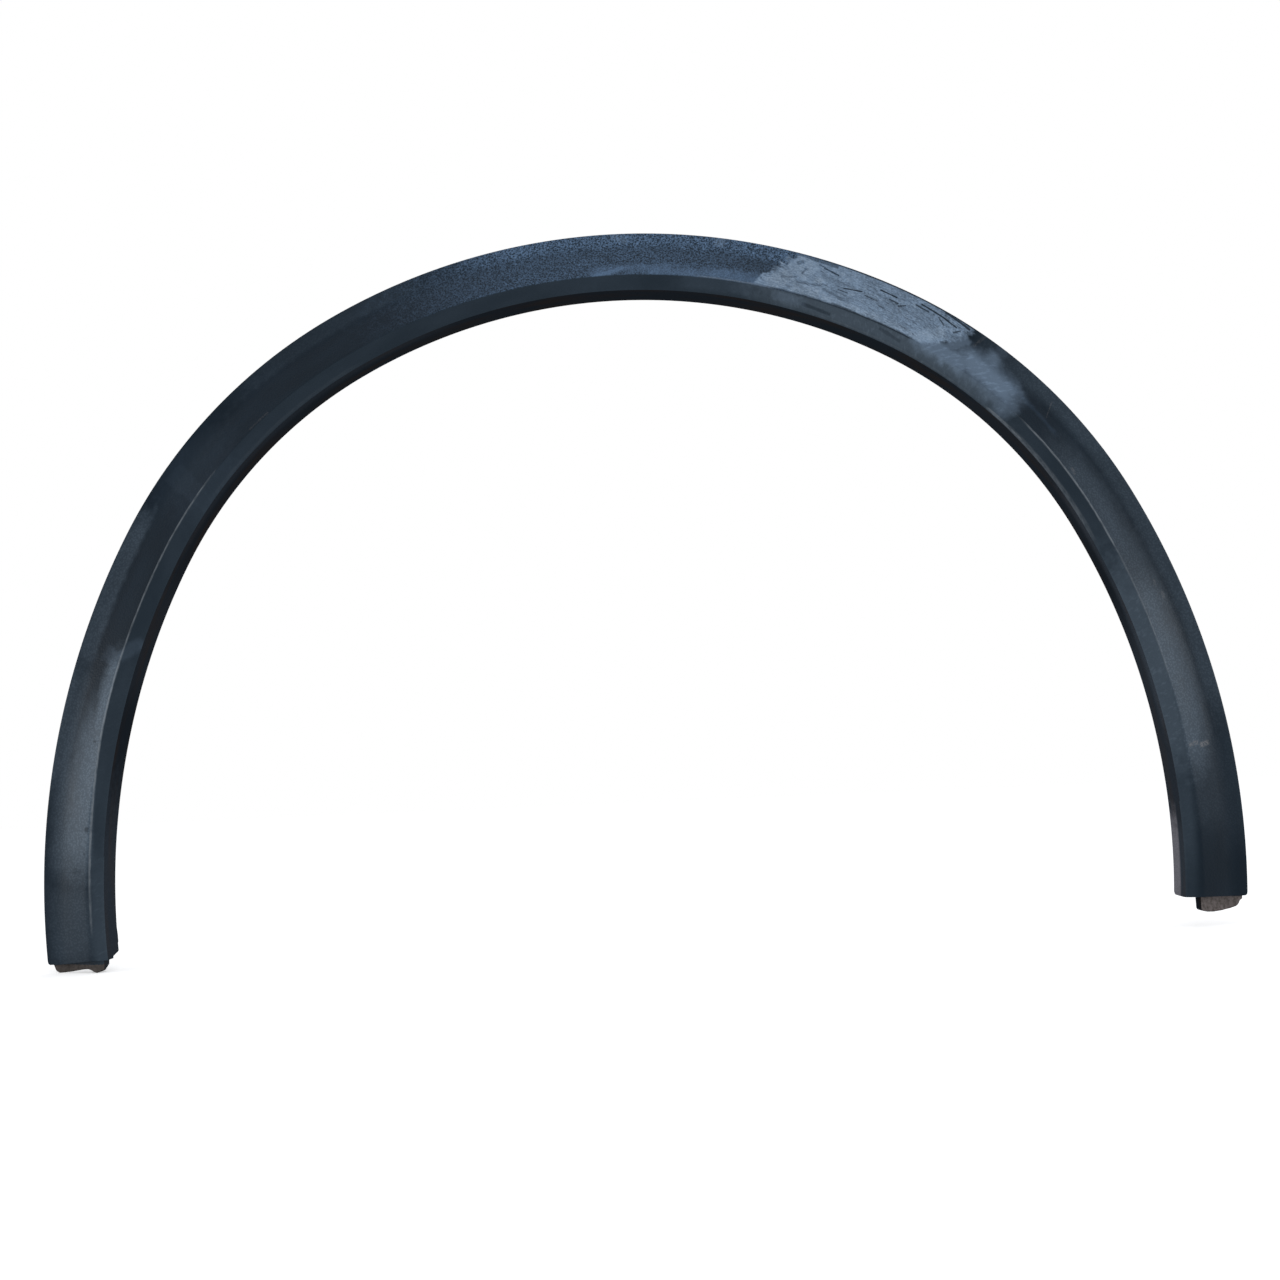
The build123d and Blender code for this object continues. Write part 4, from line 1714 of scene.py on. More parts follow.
@dataclass(frozen=True)
class GrainedPlastic:
    """Blue-black grained plastic of the face, faded, dusty and scuffed, with painted highlights and
    reflections on the top, the legs and the edges.
    """

    effects: Effects
    colour: Colour = (0.0048, 0.0112, 0.0190, 1.0)
    faded: Colour = (0.0072, 0.0152, 0.0250, 1.0)
    inner_band: Colour = (0.0160, 0.0262, 0.0375, 1.0)
    pale_band: Colour = (0.0225, 0.0345, 0.0480, 1.0)
    # Colour of the blue dust film and hazes, and of the painted highlight and reflection on the top.
    film: Colour = (0.130, 0.210, 0.335, 1.0)
    # Colour of the grey films on the inner band and of the painted sheens on the legs and margin.
    grey_film: Colour = (0.175, 0.230, 0.290, 1.0)
    dust: Colour = (0.225, 0.312, 0.428, 1.0)
    foam: Colour = (0.320, 0.400, 0.490, 1.0)
    scuff: Colour = (0.240, 0.230, 0.232, 1.0)
    # Pale grey of the lines along the crease and the roll: painted highlights on the rounded edges, partly
    # wear.
    rubbed_edge: Colour = (0.215, 0.240, 0.265, 1.0)
    gloss: float = 0.07
    bare_roughness: Range = Range(0.3, 0.7, 0.36, 0.44)
    powder_roughness: Range = Range(0.0, 0.8, 0.36, 0.9)
    crease: float = 39.5
    crease_drift: Range = Range(590.0, 720.0, 0.0, 2.0)
    crease_blur: Range = Range(620.0, 800.0, 0.6, 4.5)
    grain_size: float = 1.6
    grain_height: float = 0.10
    grain_strength: float = 0.7
    film_pits: Range = Range(0.30, 0.76, 1.46, 0.26)
    sheen_grain: Range = Range(0.25, 0.75, 0.80, 1.18)
    dust_grain: Range = Range(0.2, 0.8, 0.78, 1.04)
    clouds: Noise = Noise((0.02, 0.06, 0.06), 4.0)
    faded_clouds: Range = Range(0.3, 0.75)
    sheen_clouds: Range = Range(0.25, 0.75, 0.85, 1.1)
    sparkle: Pattern = Pattern(Noise(0.9, 2.0), Range(0.36, 0.64, 0.50, 1.54))
    flecks: Pattern = Pattern(Noise((0.15, 0.8, 0.8), 3.0), Range(0.3, 0.6, 0.35, 1.0))
    specks: Pattern = Pattern(Noise(1.1, 2.0), Range(0.42, 0.58, 0.12, 1.0))
    bubbles: Pattern = Pattern(Noise(0.55, 3.0), Range(0.4, 0.6, 0.25, 1.0))
    blotches: Pattern = Pattern(Noise((0.05, 0.09, 0.09), 4.0, 30.0), Range(0.25, 0.7, 0.66, 1.0))
    crackle: Pattern = Pattern(Noise((0.28, 1.2, 1.2), 3.0, 6.0), Range(0.3, 0.62, 0.68, 1.12))
    cracks: tuple[tuple[Strands, float], ...] = (
        (Strands(0.035, 0.22, 8.0, 0.022), 0.42),
        (Strands(0.10, 0.34, -14.0, 0.030), 0.62),
    )
    foam_ridges: Strands = Strands(0.12, 0.30, 20.0, 0.040)
    foam_ridge_share: float = 0.55
    dust_edge: Noise = Noise(0.22, 6.0)
    dust_left_wobble: float = 27.0
    dust_right_wobble: float = 0.6
    dust_inner_wobble: float = 0.07
    dust_left: Range = Range(144.0, 151.0)
    dust_left_slope: float = 0.9
    dust_right: Range = Range(298.0, 290.0)
    dust_right_bow: float = 0.020
    dust_rim: Range = Range(0.6, 2.2)
    dust_inner: Range = Range(39.1, 36.7)
    across_wipes: Strokes = Strokes(0.55, 0.05, -28.0, 0.55, 0.35, 0.65)
    slanted_wipes: Strokes = Strokes(0.36, 0.05, 38.0, 0.6, 0.4, 0.70)
    lengthwise_wipes: Strokes = Strokes(0.40, 0.03, 97.0, 0.66, 0.10, 0.72)
    # Painted highlight and painted blue reflection: the broad marks over the top and along its margin stand
    # for light from above, partly a real dust film.
    films: tuple[Mark, ...] = (
        Mark(-5.0, 18.0, 45.0, 16.0, 0.0, 60.0, 24.0, 0.36, 190.0),
        Mark(20.0, 3.0, 90.0, 3.5, 0.0, 16.0, 8.0, 0.60, 110.0),
    )
    hazes: tuple[Mark, ...] = (
        Mark(-8.0, 36.8, 10.0, 0.6, -16.0, 3.5, 6.0, 0.75, 14.0),
        Mark(14.0, 33.0, 24.0, 0.6, -2.0, 5.0, 7.0, 0.40, 20.0),
        Mark(75.0, 36.5, 38.0, 1.0, 0.0, 7.0, 8.0, 0.44, 30.0),
        Mark(98.0, 35.0, 18.0, 2.0, 0.0, 7.0, 9.0, 0.48, 16.0),
        Mark(370.0, 23.5, 22.0, 0.2, 3.0, 3.0, 4.0, 0.09, 14.0),
    )
    wipes: tuple[Mark, ...] = (
        Mark(284.0, 34.5, 20.0, 3.5, 0.0, 8.0, 8.0, 0.64, 12.0),
        Mark(290.0, 22.0, 10.0, 2.0, -60.0, 5.0, 6.0, 0.45),
        Mark(326.0, 28.5, 17.0, 3.0, 3.0, 16.0, 7.0, 0.72, 26.0),
        Mark(317.0, 21.0, 9.0, 3.0, -52.0, 10.0, 6.0, 0.48),
        Mark(346.0, 32.0, 10.0, 2.5, 33.0, 14.0, 6.0, 0.42),
        Mark(322.0, 5.0, 3.0, 7.0, 24.0, 4.0, 6.0, 0.10),
        Mark(146.0, 43.0, 8.0, 1.4, 0.0, 3.0, 5.0, 0.20, 10.0),
        Mark(-562.0, 31.0, 3.0, 6.0, 20.0, 6.0, 8.0, 0.08),
        Mark(-553.0, 43.5, 9.0, 2.0, 36.0, 5.0, 6.0, 0.11),
        Mark(-412.0, 30.0, 6.0, 22.0, 10.0, 7.0, 8.0, 0.050, 9.0),
        Mark(-395.0, 28.0, 15.0, 22.0, 10.0, 10.0, 10.0, 0.030, 40.0),
        Mark(-400.0, 45.0, 16.0, 4.0, 0.0, 3.0, 3.0, 0.045, 36.0),
        Mark(-20.0, 45.0, 30.0, 4.0, 0.0, 4.0, 4.0, 0.025, 20.0),
        Mark(85.0, 42.5, 22.0, 2.0, 0.0, 6.0, 4.0, 0.060, 20.0),
        Mark(3.0, 4.0, 5.0, 1.2, 24.0, 3.0, 4.0, 0.20),
        Mark(83.0, 4.0, 2.5, 2.5, 10.0, 3.0, 4.0, 0.26),
    )
    # Painted highlights and painted reflections: the sheens on both legs and the lighter strips along the
    # margin stand for light falling there, partly a thin grey film.
    sheens: tuple[Mark, ...] = (
        Mark(-669.0, 38.0, 38.0, 4.0, 5.0, 31.0, 9.0, 0.44, 58.0),
        Mark(-630.0, 38.0, 50.0, 3.0, 0.0, 11.0, 6.0, 0.48, 35.0),
        Mark(-775.0, 28.0, 14.0, 14.0, 0.0, 19.0, 10.0, 0.14, 34.0),
        Mark(608.0, 38.0, 50.0, 4.0, 0.0, 28.0, 9.0, 0.345, 66.0),
        Mark(490.0, 38.0, 50.0, 4.0, 0.0, 26.0, 10.0, 0.19, 60.0),
        Mark(705.0, 30.0, 15.0, 8.0, 0.0, 16.0, 9.0, 0.07, 25.0),
        Mark(-690.0, 14.0, 25.0, 2.0, 0.0, 13.0, 5.0, 0.20, 45.0),
        Mark(-622.0, 7.0, 25.0, 5.0, 0.0, 8.0, 5.0, 0.17, 45.0),
        Mark(-585.0, 9.0, 30.0, 0.8, 1.5, 3.0, 4.0, 0.07, 30.0),
        Mark(-513.0, 7.5, 46.0, 4.5, 0.0, 6.0, 6.0, 0.17, 36.0),
        Mark(-245.0, 6.0, 40.0, 4.0, 0.0, 6.0, 6.0, 0.06, 80.0),
        Mark(340.0, 6.0, 20.0, 4.0, 0.0, 9.0, 6.0, 0.10, 26.0),
        Mark(495.0, 4.0, 125.0, 3.0, 0.0, 10.0, 5.0, 0.155, 80.0),
        Mark(700.0, 8.0, 25.0, 6.0, 0.0, 14.0, 6.0, 0.05, 40.0),
    )
    grey_films: tuple[Mark, ...] = (
        Mark(235.0, 43.5, 85.0, 2.0, 0.0, 8.0, 6.0, 0.38, 60.0),
        Mark(-770.0, 45.0, 25.0, 5.0, 0.0, 8.0, 6.0, 0.18, 60.0),
        Mark(-640.0, 45.0, 40.0, 5.0, 0.0, 8.0, 6.0, 0.06, 50.0),
        Mark(600.0, 45.0, 50.0, 4.0, 0.0, 8.0, 6.0, 0.34, 75.0),
        Mark(730.0, 45.0, 15.0, 4.0, 0.0, 8.0, 6.0, 0.09, 40.0),
    )
    # Painted highlights: lines along the crease and the roll, where the rounded edges catch the light, partly
    # rubbed wear.
    edge_lines: tuple[Mark, ...] = (
        Mark(-650.0, 38.9, 75.0, 0.3, 0.0, 0.9, 0.4, 0.62, 50.0),
        Mark(-757.0, 39.0, 16.0, 0.3, 0.0, 1.0, 0.4, 0.34, 14.0),
        Mark(-490.0, 39.1, 80.0, 0.2, 0.0, 0.9, 0.4, 0.50, 30.0),
        Mark(440.0, 39.1, 50.0, 0.3, 0.0, 0.8, 0.4, 0.60, 30.0),
        Mark(560.0, 39.1, 40.0, 0.2, 0.0, 0.9, 0.4, 0.26, 30.0),
        Mark(100.0, 38.8, 25.0, 0.15, 0.0, 0.8, 0.6, 0.30, 12.0),
        Mark(-320.0, 48.2, 70.0, 0.3, 0.0, 1.2, 0.8, 0.05, 30.0),
        Mark(250.0, 48.4, 60.0, 0.15, 0.0, 0.8, 0.6, 0.10, 40.0),
        Mark(366.0, 48.5, 16.0, 0.3, 0.0, 0.9, 0.6, 0.50, 12.0),
        Mark(425.0, 48.6, 45.0, 0.5, 0.0, 1.6, 0.6, 0.30, 30.0),
    )
    scuffs: tuple[Mark, ...] = (
        Mark(671.5, 23.0, 1.0, 3.4, -6.0, 1.8, 3.4, 0.50),
        Mark(670.0, 32.0, 0.8, 3.2, -6.0, 1.8, 3.4, 0.38),
        Mark(-332.0, 38.0, 10.0, 0.3, 2.0, 1.2, 2.4, 0.12),
        Mark(432.0, 34.5, 2.4, 0.4, 10.0, 1.4, 2.4, 0.20),
        Mark(541.0, 20.8, 1.6, 0.5, 20.0, 1.3, 2.0, 0.22),
        Mark(552.5, 18.4, 2.2, 0.4, 10.0, 1.3, 2.0, 0.20),
        Mark(381.0, 14.0, 7.5, 0.1, 66.0, 0.7, 0.6, 0.14),
        Mark(303.5, 8.5, 0.4, 6.0, 14.0, 1.6, 2.5, 0.12),
    )
    bare_spots: tuple[Mark, ...] = (
        Mark(-701.0, 35.3, 1.0, 1.0, 0.0, 1.6, 1.6, 0.62),
        Mark(-631.0, 34.0, 0.5, 0.9, 0.0, 1.3, 1.6, 0.60),
        Mark(-720.0, 34.6, 0.8, 0.5, 0.0, 1.2, 1.6, 0.42),
        Mark(-734.0, 28.6, 1.2, 2.0, 20.0, 2.2, 3.0, 0.40),
    )
    foams: tuple[Mark, ...] = (
        Mark(136.0, 29.0, 9.0, 4.0, -48.0, 5.0, 8.0, 0.75),
        Mark(158.0, 33.0, 10.0, 3.0, 0.0, 5.0, 7.0, 0.60),
        Mark(167.0, 20.0, 2.4, 1.8, 0.0, 2.4, 3.0, 0.65),
        Mark(152.0, 12.0, 6.0, 6.0, -60.0, 6.0, 8.0, 0.40),
        Mark(215.0, 35.5, 40.0, 1.5, 0.0, 3.5, 6.0, 0.45),
        Mark(266.0, 28.0, 14.0, 2.5, -40.0, 4.0, 6.0, 0.45),
    )
    rubs: tuple[Mark, ...] = (
        Mark(166.5, 6.2, 2.6, 0.2, 14.0, 0.7, 0.8, 0.85),
        Mark(174.5, 8.4, 6.5, 0.35, 10.0, 0.7, 0.8, 0.95),
        Mark(153.5, 15.0, 0.4, 3.0, 20.0, 0.8, 1.0, 0.60),
        Mark(149.0, 8.0, 2.5, 0.8, -30.0, 1.4, 2.5, 0.65),
        Mark(223.0, 8.8, 7.0, 0.3, 2.0, 0.7, 0.8, 0.95),
        Mark(229.0, 13.4, 4.0, 0.3, 4.0, 0.7, 0.8, 0.85),
        Mark(236.5, 14.0, 3.0, 0.3, -35.0, 0.7, 0.8, 0.80),
        Mark(195.5, 18.0, 7.5, 0.3, -12.0, 0.7, 0.8, 0.95),
        Mark(211.5, 19.2, 5.5, 0.2, 4.0, 0.6, 0.8, 0.80),
        Mark(188.0, 22.6, 4.0, 0.2, 2.0, 0.6, 0.8, 0.80),
        Mark(181.0, 28.4, 9.0, 0.5, 12.0, 1.4, 1.6, 0.40),
        Mark(160.0, 26.0, 10.0, 0.3, -8.0, 1.0, 1.6, 0.50),
        Mark(143.0, 24.0, 6.0, 0.4, -14.0, 1.2, 2.0, 0.50),
        Mark(191.5, 37.6, 8.5, 0.4, 1.0, 0.9, 1.0, 0.65),
        Mark(262.5, 5.8, 12.5, 0.35, 4.0, 0.7, 0.8, 0.95),
        Mark(252.0, 7.9, 6.0, 0.3, 2.0, 0.7, 0.8, 0.85),
        Mark(277.5, 7.4, 5.5, 0.3, 6.0, 0.7, 0.8, 0.90),
        Mark(281.0, 2.4, 11.5, 0.5, 5.0, 0.8, 1.0, 0.90),
        Mark(285.0, 11.0, 3.0, 0.4, -50.0, 0.8, 1.0, 0.75),
        Mark(270.0, 10.0, 4.0, 0.3, 30.0, 0.7, 1.0, 0.75),
        Mark(158.0, 1.6, 20.0, 1.0, 3.0, 1.4, 2.0, 0.70),
    )
    inner_rubs: tuple[Mark, ...] = (
        Mark(172.0, 44.8, 12.5, 0.5, 3.0, 1.2, 1.2, 0.75),
        Mark(238.0, 43.0, 10.0, 0.4, 6.0, 1.2, 1.4, 0.55),
    )

    def straightened(self, coat: Coat, place: Socket) -> Socket:
        """Arch coordinates with the crease, which drifts inwards down the legs, brought to one line.

        Args:
            coat: The open finish.
            place: Arch coordinates.

        Returns:
            The coordinates for marks and masks.
        """
        along, across, depth = coat.split(place)
        down = coat.span(coat.math("ABSOLUTE", along), *self.crease_drift)
        over = coat.span(across, self.crease / 2, self.crease)
        level = coat.math("SUBTRACT", across, coat.product(down, over))
        return coat.node("ShaderNodeCombineXYZ", X=along, Y=level, Z=depth).outputs[0]

    def ramp(self, coat: Coat) -> Socket:
        """Mask of the face between the outer edge and the crease, blurred where the crease is soft.

        Args:
            coat: The open finish.

        Returns:
            The mask.
        """
        along, across, _ = coat.split(coat.place)
        blur = coat.span(coat.math("ABSOLUTE", along), *self.crease_blur)
        off = coat.math("SUBTRACT", across, self.crease)
        return coat.span(coat.math("DIVIDE", off, blur), 1.0, -1.0)

    def bare(self, coat: Coat, ramp: Socket, clouds: Socket) -> Socket:
        """Colour of the bare plastic, faded in clouds.

        Args:
            coat: The open finish.
            ramp: Mask of the face outside the crease.
            clouds: Noise of the clouds.

        Returns:
            The colour.
        """
        share = coat.span(clouds, *self.faded_clouds)
        inner = coat.blend(share, self.inner_band, self.pale_band)
        return coat.blend(ramp, inner, coat.blend(share, self.colour, self.faded))

    def dust_patch(self, coat: Coat) -> Socket:
        """Mask of the thick dust on the upper right, wiped off at a slant at both ends.

        Args:
            coat: The open finish.

        Returns:
            The mask.
        """
        along, across, _ = coat.split(coat.place)
        wobble = coat.product(coat.wobble(coat.place, self.dust_edge), self.dust_left_wobble)
        from_left = coat.math("ADD", along, coat.product(across, self.dust_left_slope))
        left = coat.span(coat.math("ADD", from_left, wobble), *self.dust_left)
        from_right = coat.math("ADD", along, coat.product(across, across, self.dust_right_bow))
        from_right = coat.math("ADD", from_right, coat.product(wobble, self.dust_right_wobble))
        right = coat.span(from_right, *self.dust_right)
        rim = coat.span(across, *self.dust_rim)
        uneven = coat.math("ADD", across, coat.product(wobble, self.dust_inner_wobble))
        return coat.product(left, right, rim, coat.span(uneven, *self.dust_inner))

    def dusted(self, coat: Coat, grain: Socket) -> Socket:
        """Mask of the thick dust with all that was rubbed out of it.

        Args:
            coat: The open finish.
            grain: Height of the grain.

        Returns:
            The mask.
        """
        cracked = [coat.span(coat.strands(strands), 0.0, 1.0, 1.0, left) for strands, left in self.cracks]
        return coat.product(
            self.dust_patch(coat),
            coat.pattern(self.blotches),
            coat.wiped(self.lengthwise_wipes),
            *cracked,
            coat.less(coat.marks(self.rubs)),
            coat.span(grain, *self.dust_grain),
            coat.pattern(self.crackle),
        )

    def foamed(self, coat: Coat, dust: Socket) -> Socket:
        """Mask of the pale foam that dried on the dust.

        Args:
            coat: The open finish.
            dust: Mask of the dust.

        Returns:
            The mask.
        """
        foam = coat.product(coat.marks(self.foams), coat.pattern(self.bubbles))
        ridges = coat.product(coat.strands(self.foam_ridges), self.foam_ridge_share)
        return coat.product(coat.most(foam, ridges), dust)

    def worn(self, coat: Coat, colour: Socket) -> Socket:
        """Adds pale lines along the crease and the roll, painted highlights that are partly wear, and scuffs
        of fine specks.

        Args:
            coat: The open finish.
            colour: Colour under the wear.

        Returns:
            The colour with the wear.
        """
        edges = coat.product(coat.marks(self.edge_lines), coat.pattern(self.flecks))
        scuffs = coat.product(coat.marks(self.scuffs), coat.pattern(self.specks))
        return coat.layered(colour, ((edges, self.rubbed_edge), (scuffs, self.scuff)))

    def build(self) -> bpy.types.Material:
        """Makes the material.

        Returns:
            The material.
        """
        coat = Coat("grained_plastic", self.effects)
        coat.place = self.straightened(coat, coat.attribute(ARCH_ATTRIBUTE, "Vector"))
        ramp = self.ramp(coat)
        grain = coat.grain(self.grain_size)
        clouds = coat.noise(coat.place, self.clouds)
        wiped, fanned = coat.wiped(self.across_wipes), coat.wiped(self.slanted_wipes)
        pits = coat.product(coat.span(grain, *self.film_pits), coat.pattern(self.sparkle))
        # Painted highlight and reflection on the top, partly a real blue dust film.
        film = coat.product(coat.marks(self.films), ramp, wiped, pits)
        # Painted highlights on the legs and the margin, partly a thin grey film.
        sheen = coat.product(
            coat.marks(self.sheens),
            ramp,
            coat.less(coat.marks(self.bare_spots)),
            coat.span(clouds, *self.sheen_clouds),
            coat.span(grain, *self.sheen_grain),
        )
        inner_rubbed = coat.less(coat.marks(self.inner_rubs))
        grey = coat.product(coat.marks(self.grey_films), coat.less(ramp), wiped, inner_rubbed)
        haze = coat.product(coat.marks(self.hazes), ramp, fanned)
        wipe = coat.product(coat.marks(self.wipes), fanned)
        dust = self.dusted(coat, grain)
        layers = (
            (film, self.film),
            (sheen, self.grey_film),
            (grey, self.grey_film),
            (haze, self.film),
            (wipe, self.dust),
            (dust, self.dust),
            (self.foamed(coat, dust), self.foam),
        )
        colour = coat.layered(self.bare(coat, ramp, clouds), layers)
        powder = coat.span(coat.most(dust, film, haze, wipe), *self.powder_roughness)
        coat.shade(
            Base_Color=self.worn(coat, colour),
            Roughness=coat.most(coat.span(clouds, *self.bare_roughness), powder),
            Specular_IOR_Level=self.gloss,
            Normal=coat.bump(grain, self.grain_strength, self.grain_height),
        )
        return coat.material


@dataclass(frozen=True)
class SoiledPlastic:
    """Matte plastic of the flange and the hidden side, soiled, with dried mud on the tongues, and a painted
    highlight on the flange at the right end.
    """

    effects: Effects
    colour: Colour = (0.0106, 0.0140, 0.0186, 1.0)
    soil: Colour = (0.0185, 0.0145, 0.0130, 1.0)
    # Colour of the flange's films, partly a painted highlight at the right end.
    film: Colour = (0.145, 0.182, 0.232, 1.0)
    # Pinkish grey of a painted highlight along the flange at the right end, partly a pale dusty film.
    end_film: Colour = (0.195, 0.190, 0.212, 1.0)
    mud: Colour = (0.070, 0.062, 0.056, 1.0)
    pale_mud: Colour = (0.175, 0.152, 0.148, 1.0)
    road_dust: Colour = (0.088, 0.084, 0.080, 1.0)
    gloss: float = 0.0
    roughness: Range = Range(0.0, 0.9, 0.62, 0.95)
    grain_size: float = 1.1
    grain_height: float = 0.12
    grain_strength: float = 0.6
    crust_height: float = 1.5
    film_pits: Range = Range(0.2, 0.8, 0.7, 1.0)
    soiling: Pattern = Pattern(Noise((0.012, 0.08, 0.08), 4.0), Range(0.4, 0.7, 0.0, 0.7))
    fore: Range = Range(0.0, -11.0)
    deep: Range = Range(-5.5, -0.5)
    turned_back: Range = Range(0.1, 0.7)
    turned_front: Range = Range(-0.2, -0.7)
    back_dust: Range = Range(0.0, 0.7, 0.45, 0.75)
    crust: Noise = Noise(0.35, 5.0)
    mud_cover: Range = Range(0.25, 0.45, 0.75, 1.0)
    pale_crust: Range = Range(0.35, 0.65, 0.3, 1.0)
    pale_side: Range = Range(-1.0, 1.0, 0.25, 0.85)
    # Films on the flange; the ones at the right end are partly a painted highlight where that end is lit.
    films: tuple[Mark, ...] = (
        Mark(680.0, 49.5, 70.0, 3.0, 0.0, 4.0, 3.0, 0.10, 90.0),
        Mark(770.0, 49.5, 25.0, 3.0, 0.0, 4.0, 3.0, 0.17, 40.0),
        Mark(-760.0, 49.5, 30.0, 3.0, 0.0, 4.0, 3.0, 0.13, 110.0),
        Mark(-540.0, 49.5, 30.0, 3.0, 0.0, 4.0, 3.0, 0.040, 40.0),
        Mark(400.0, 49.5, 60.0, 3.0, 0.0, 4.0, 3.0, 0.025, 60.0),
    )
    front_films: tuple[Mark, ...] = (
        Mark(545.0, 49.5, 75.0, 3.0, 0.0, 4.0, 3.0, 0.13, 60.0),
        Mark(-310.0, 49.5, 110.0, 3.0, 0.0, 4.0, 3.0, 0.055, 90.0),
    )
    # Painted highlight: a pale strip along the flange at the right end, partly dust.
    end_films: tuple[Mark, ...] = (
        Mark(765.0, 49.5, 20.0, 3.0, 0.0, 4.0, 3.0, 0.85, 36.0),
    )

    def build(self) -> bpy.types.Material:
        """Makes the material.

        Returns:
            The material.
        """
        coat = Coat("soiled_plastic", self.effects)
        coat.place = coat.attribute(ARCH_ATTRIBUTE, "Vector")
        along, _, depth = coat.split(coat.place)
        _, facing, _ = coat.split(coat.node("ShaderNodeNewGeometry").outputs["True Normal"])
        grain = coat.grain(self.grain_size)
        pits = coat.span(grain, *self.film_pits)
        soiled = coat.pattern(self.soiling)
        crust = coat.noise(coat.place, self.crust)
        mud = coat.product(coat.attribute(MUD_ATTRIBUTE, "Fac"), coat.span(facing, *self.turned_front))
        muddy = coat.product(mud, coat.span(crust, *self.mud_cover))
        pale = coat.product(coat.span(crust, *self.pale_crust), coat.span(along, *self.pale_side))
        behind = coat.product(coat.span(facing, *self.turned_back), coat.span(soiled, *self.back_dust), pits)
        layers = (
            (soiled, self.soil),
            # The film layers hold a painted highlight at the right end as well as dust.
            (coat.product(coat.marks(self.films), pits), self.film),
            (coat.product(coat.marks(self.front_films), coat.span(depth, *self.fore), pits), self.film),
            (coat.product(coat.marks(self.end_films), coat.span(depth, *self.deep), pits), self.end_film),
            (behind, self.road_dust),
            (muddy, coat.blend(pale, self.mud, self.pale_mud)),
        )
        height = coat.math("ADD", grain, coat.product(crust, mud, self.crust_height))
        coat.shade(
            Base_Color=coat.layered(self.colour, layers),
            Roughness=coat.span(coat.most(soiled, muddy), *self.roughness),
            Specular_IOR_Level=self.gloss,
            Normal=coat.bump(height, self.grain_strength, self.grain_height),
        )
        return coat.material


@dataclass(frozen=True)
class ClipNylon:
    """Natural nylon of the clips, a little grimy where it is handled."""

    effects: Effects
    colour: Colour = (0.74, 0.71, 0.62, 1.0)
    grime: Colour = (0.42, 0.38, 0.31, 1.0)
    clouds: Noise = Noise(0.25, 4.0)
    grimy: Range = Range(0.4, 0.75, 0.0, 0.6)
    roughness: Range = Range(0.3, 0.7, 0.38, 0.6)
    grain_size: float = 0.5
    grain_height: float = 0.1
    grain_strength: float = 0.25

    def build(self) -> bpy.types.Material:
        """Makes the material.

        Returns:
            The material.
        """
        coat = Coat("clip_nylon", self.effects)
        metres = coat.node("ShaderNodeTexCoord").outputs["Object"]
        scaled = coat.node("ShaderNodeVectorMath", operation="SCALE", Vector=metres, Scale=1 / MM)
        coat.place = scaled.outputs[0]
        clouds = coat.noise(coat.place, self.clouds)
        coat.shade(
            Base_Color=coat.blend(coat.span(clouds, *self.grimy), self.colour, self.grime),
            Roughness=coat.span(clouds, *self.roughness),
            Normal=coat.bump(coat.grain(self.grain_size), self.grain_strength, self.grain_height),
        )
        return coat.material


@dataclass(frozen=True)
class SoftBox:
    """Oblong area lamp, in metres and watts."""

    name: str
    place: Place
    target: Place
    width: float
    height: float
    power: float

    def build(self) -> None:
        """Hangs the lamp and turns it to its target."""
        data = bpy.data.lights.new(self.name, "AREA")
        data.shape = "RECTANGLE"
        data.size = self.width
        data.size_y = self.height
        data.energy = self.power
        made = bpy.data.objects.new(self.name, data)
        made.location = self.place
        made.rotation_euler = (Vector(self.target) - Vector(self.place)).to_track_quat("-Z", "Y").to_euler()
        bpy.context.scene.collection.objects.link(made)


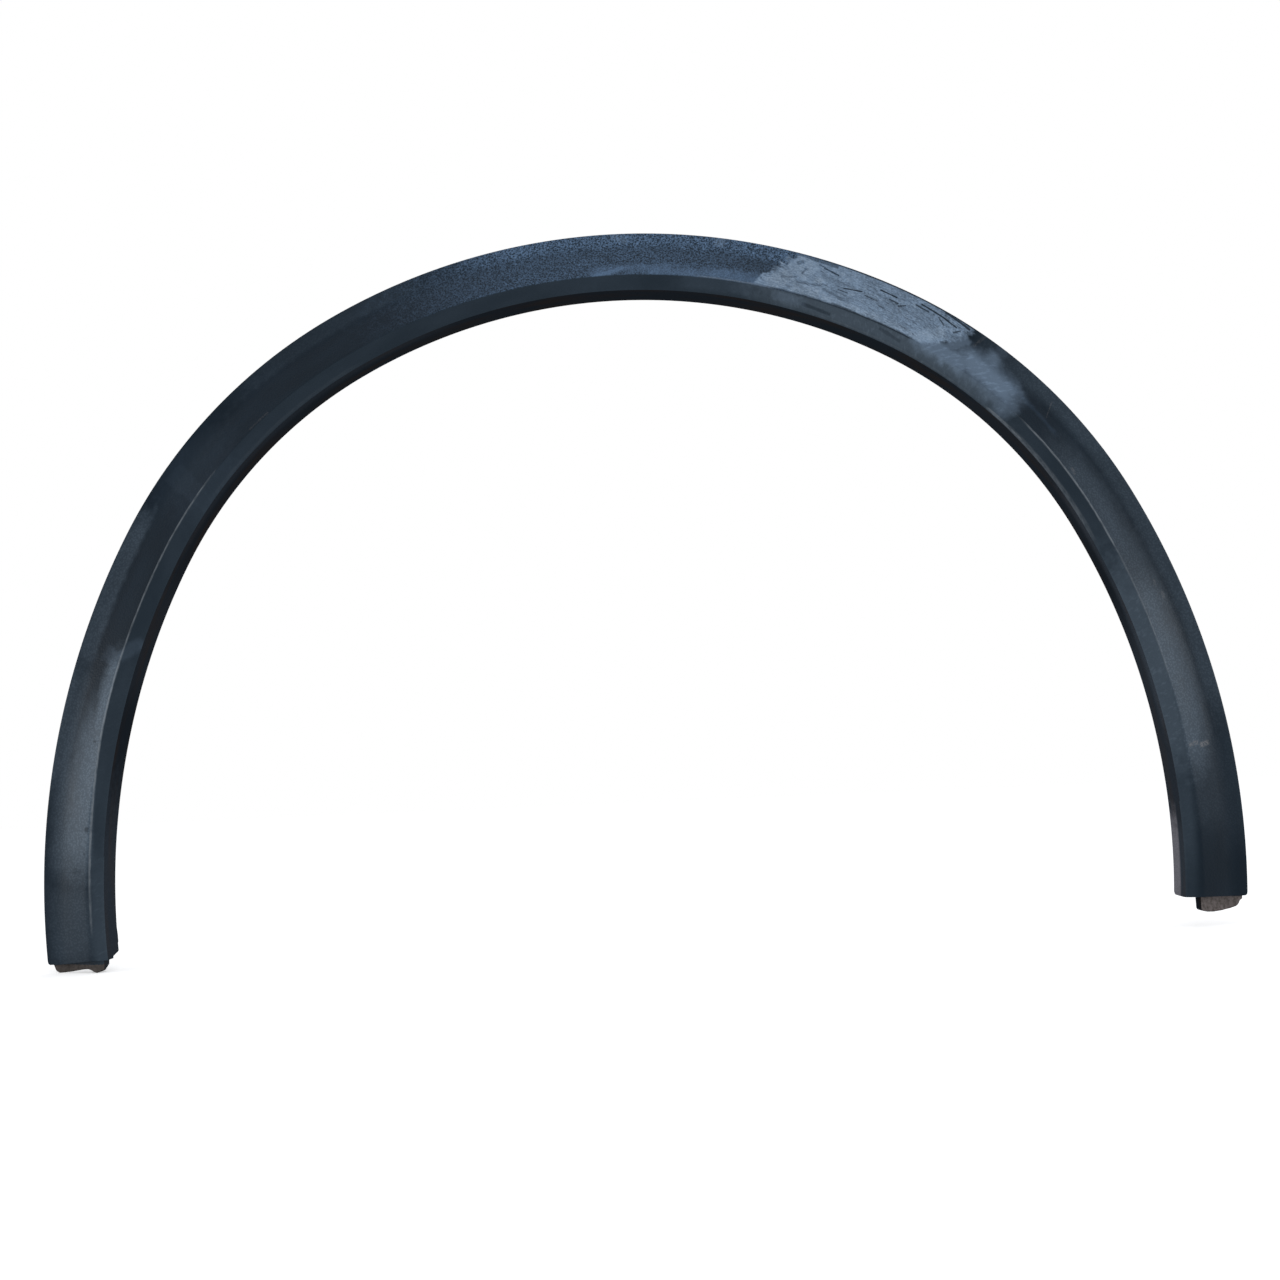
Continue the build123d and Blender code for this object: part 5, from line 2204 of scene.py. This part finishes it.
@dataclass(frozen=True)
class Studio:
    """White floor and background, and soft lamps."""

    floor_half: float = 6.0
    floor_colour: Colour = (0.86, 0.86, 0.86, 1.0)
    floor_roughness: float = 0.9
    floor_glow: float = 0.42
    fill: Colour = (0.72, 0.73, 0.75, 1.0)
    lamps: tuple[SoftBox, ...] = (
        SoftBox("top_lamp", (0.1, -0.7, 1.2), (0.0, 0.0, -0.1), 1.4, 0.8, 2.5),
        SoftBox("left_lamp", (-1.51, -0.23, -0.27), (-0.44, 0.0, -0.37), 0.4, 0.4, 3.2),
        SoftBox("right_lamp", (1.48, -0.26, -0.06), (0.43, 0.0, -0.31), 0.4, 0.4, 2.6),
    )

    @staticmethod
    def seen(graph: Graph) -> Socket:
        """Mask of the rays that show the background: from the camera, in gloss and through glass."""
        rays = graph.node("ShaderNodeLightPath").outputs
        return graph.most(rays["Is Camera Ray"], rays["Is Glossy Ray"], rays["Is Transmission Ray"])

    def floor(self, height: float) -> None:
        """Lays the floor.

        Args:
            height: Height of the floor.
        """
        half = self.floor_half
        corners = [(-half, -half, height), (half, -half, height), (half, half, height), (-half, half, height)]
        mesh = bpy.data.meshes.new("floor")
        mesh.from_pydata(corners, [], [(0, 1, 2, 3)])
        made = bpy.data.objects.new("floor", mesh)
        bpy.context.scene.collection.objects.link(made)
        paint = Paint("white_floor")
        paint.shade(
            Base_Color=self.floor_colour,
            Roughness=self.floor_roughness,
            Specular_IOR_Level=0.0,
            Emission_Color=WHITE,
            Emission_Strength=paint.product(self.seen(paint), self.floor_glow),
        )
        mesh.materials.append(paint.material)
        made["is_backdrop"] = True

    def world(self) -> None:
        """Sets a white background that lights the object as a soft fill."""
        made = bpy.data.worlds.new("studio")
        made.use_nodes = True
        graph = Graph(made.node_tree)
        fill = graph.fill(made.node_tree.nodes["Background"], Color=self.fill)
        white = graph.node("ShaderNodeBackground", Color=WHITE)
        both = graph.node("ShaderNodeMixShader")
        for socket, value in zip(both.inputs, (self.seen(graph), fill.outputs[0], white.outputs[0])):
            graph.put(socket, value)
        graph.fill(made.node_tree.nodes["World Output"], Surface=both.outputs[0])
        bpy.context.scene.world = made

    def build(self, height: float) -> None:
        """Sets up floor, background and lamps.

        Args:
            height: Height of the floor.
        """
        self.floor(height)
        self.world()
        for lamp in self.lamps:
            lamp.build()
        bpy.context.scene.view_settings.view_transform = "Standard"


@dataclass(frozen=True)
class PhotoCamera:
    """Camera at the photograph's viewing angle, in metres, degrees and pixels of a square picture."""

    place: Place = (0.020, -1.024, -0.395)
    yaw: float = 0.77
    pitch: float = 5.86
    roll: float = 2.41
    level: float = 90.0
    focal: float = 1350.7
    picture: float = 1280.0
    sensor: float = 36.0

    def build(self) -> None:
        """Makes the camera and sets it as the scene's."""
        data = bpy.data.cameras.new("photo_camera")
        data.sensor_width = self.sensor
        data.lens = self.focal * self.sensor / self.picture
        made = bpy.data.objects.new("photo_camera", data)
        bpy.context.scene.collection.objects.link(made)
        pose = Matrix.Translation(self.place)
        for angle, axis in ((self.yaw, "Z"), (self.pitch, "X"), (self.roll, "Y"), (self.level, "X")):
            pose = pose @ Matrix.Rotation(math.radians(angle), 4, axis)
        made.matrix_world = pose
        bpy.context.scene.camera = made


def main() -> None:
    """Builds and dresses each piece, then the studio."""
    line, section = ArchLine(), Section()
    fade = Fade(line, section)
    fixings = Fixings(line, section, fade)
    effects = Effects()
    arch = ArchMoulding(line, section, fade, fixings, (left_tongue(), right_tongue()))
    moulding = arch.build()
    arch.dress(moulding, GrainedPlastic(effects).build(), SoiledPlastic(effects).build())
    log.info("%s: %d faces", moulding.name, len(moulding.data.polygons))
    push_clips = PushClips(line, fixings)
    clips = push_clips.build()
    push_clips.dress(clips, ClipNylon(effects).build())
    log.info("%s: %d faces", clips.name, len(clips.data.polygons))
    visual_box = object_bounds()
    Studio().build(min(visual_box[0][2], visual_box[1][2]))
    PhotoCamera().build()


if __name__ == "__main__":
    logging.basicConfig(level=logging.INFO, format="%(name)s: %(message)s")
    main()
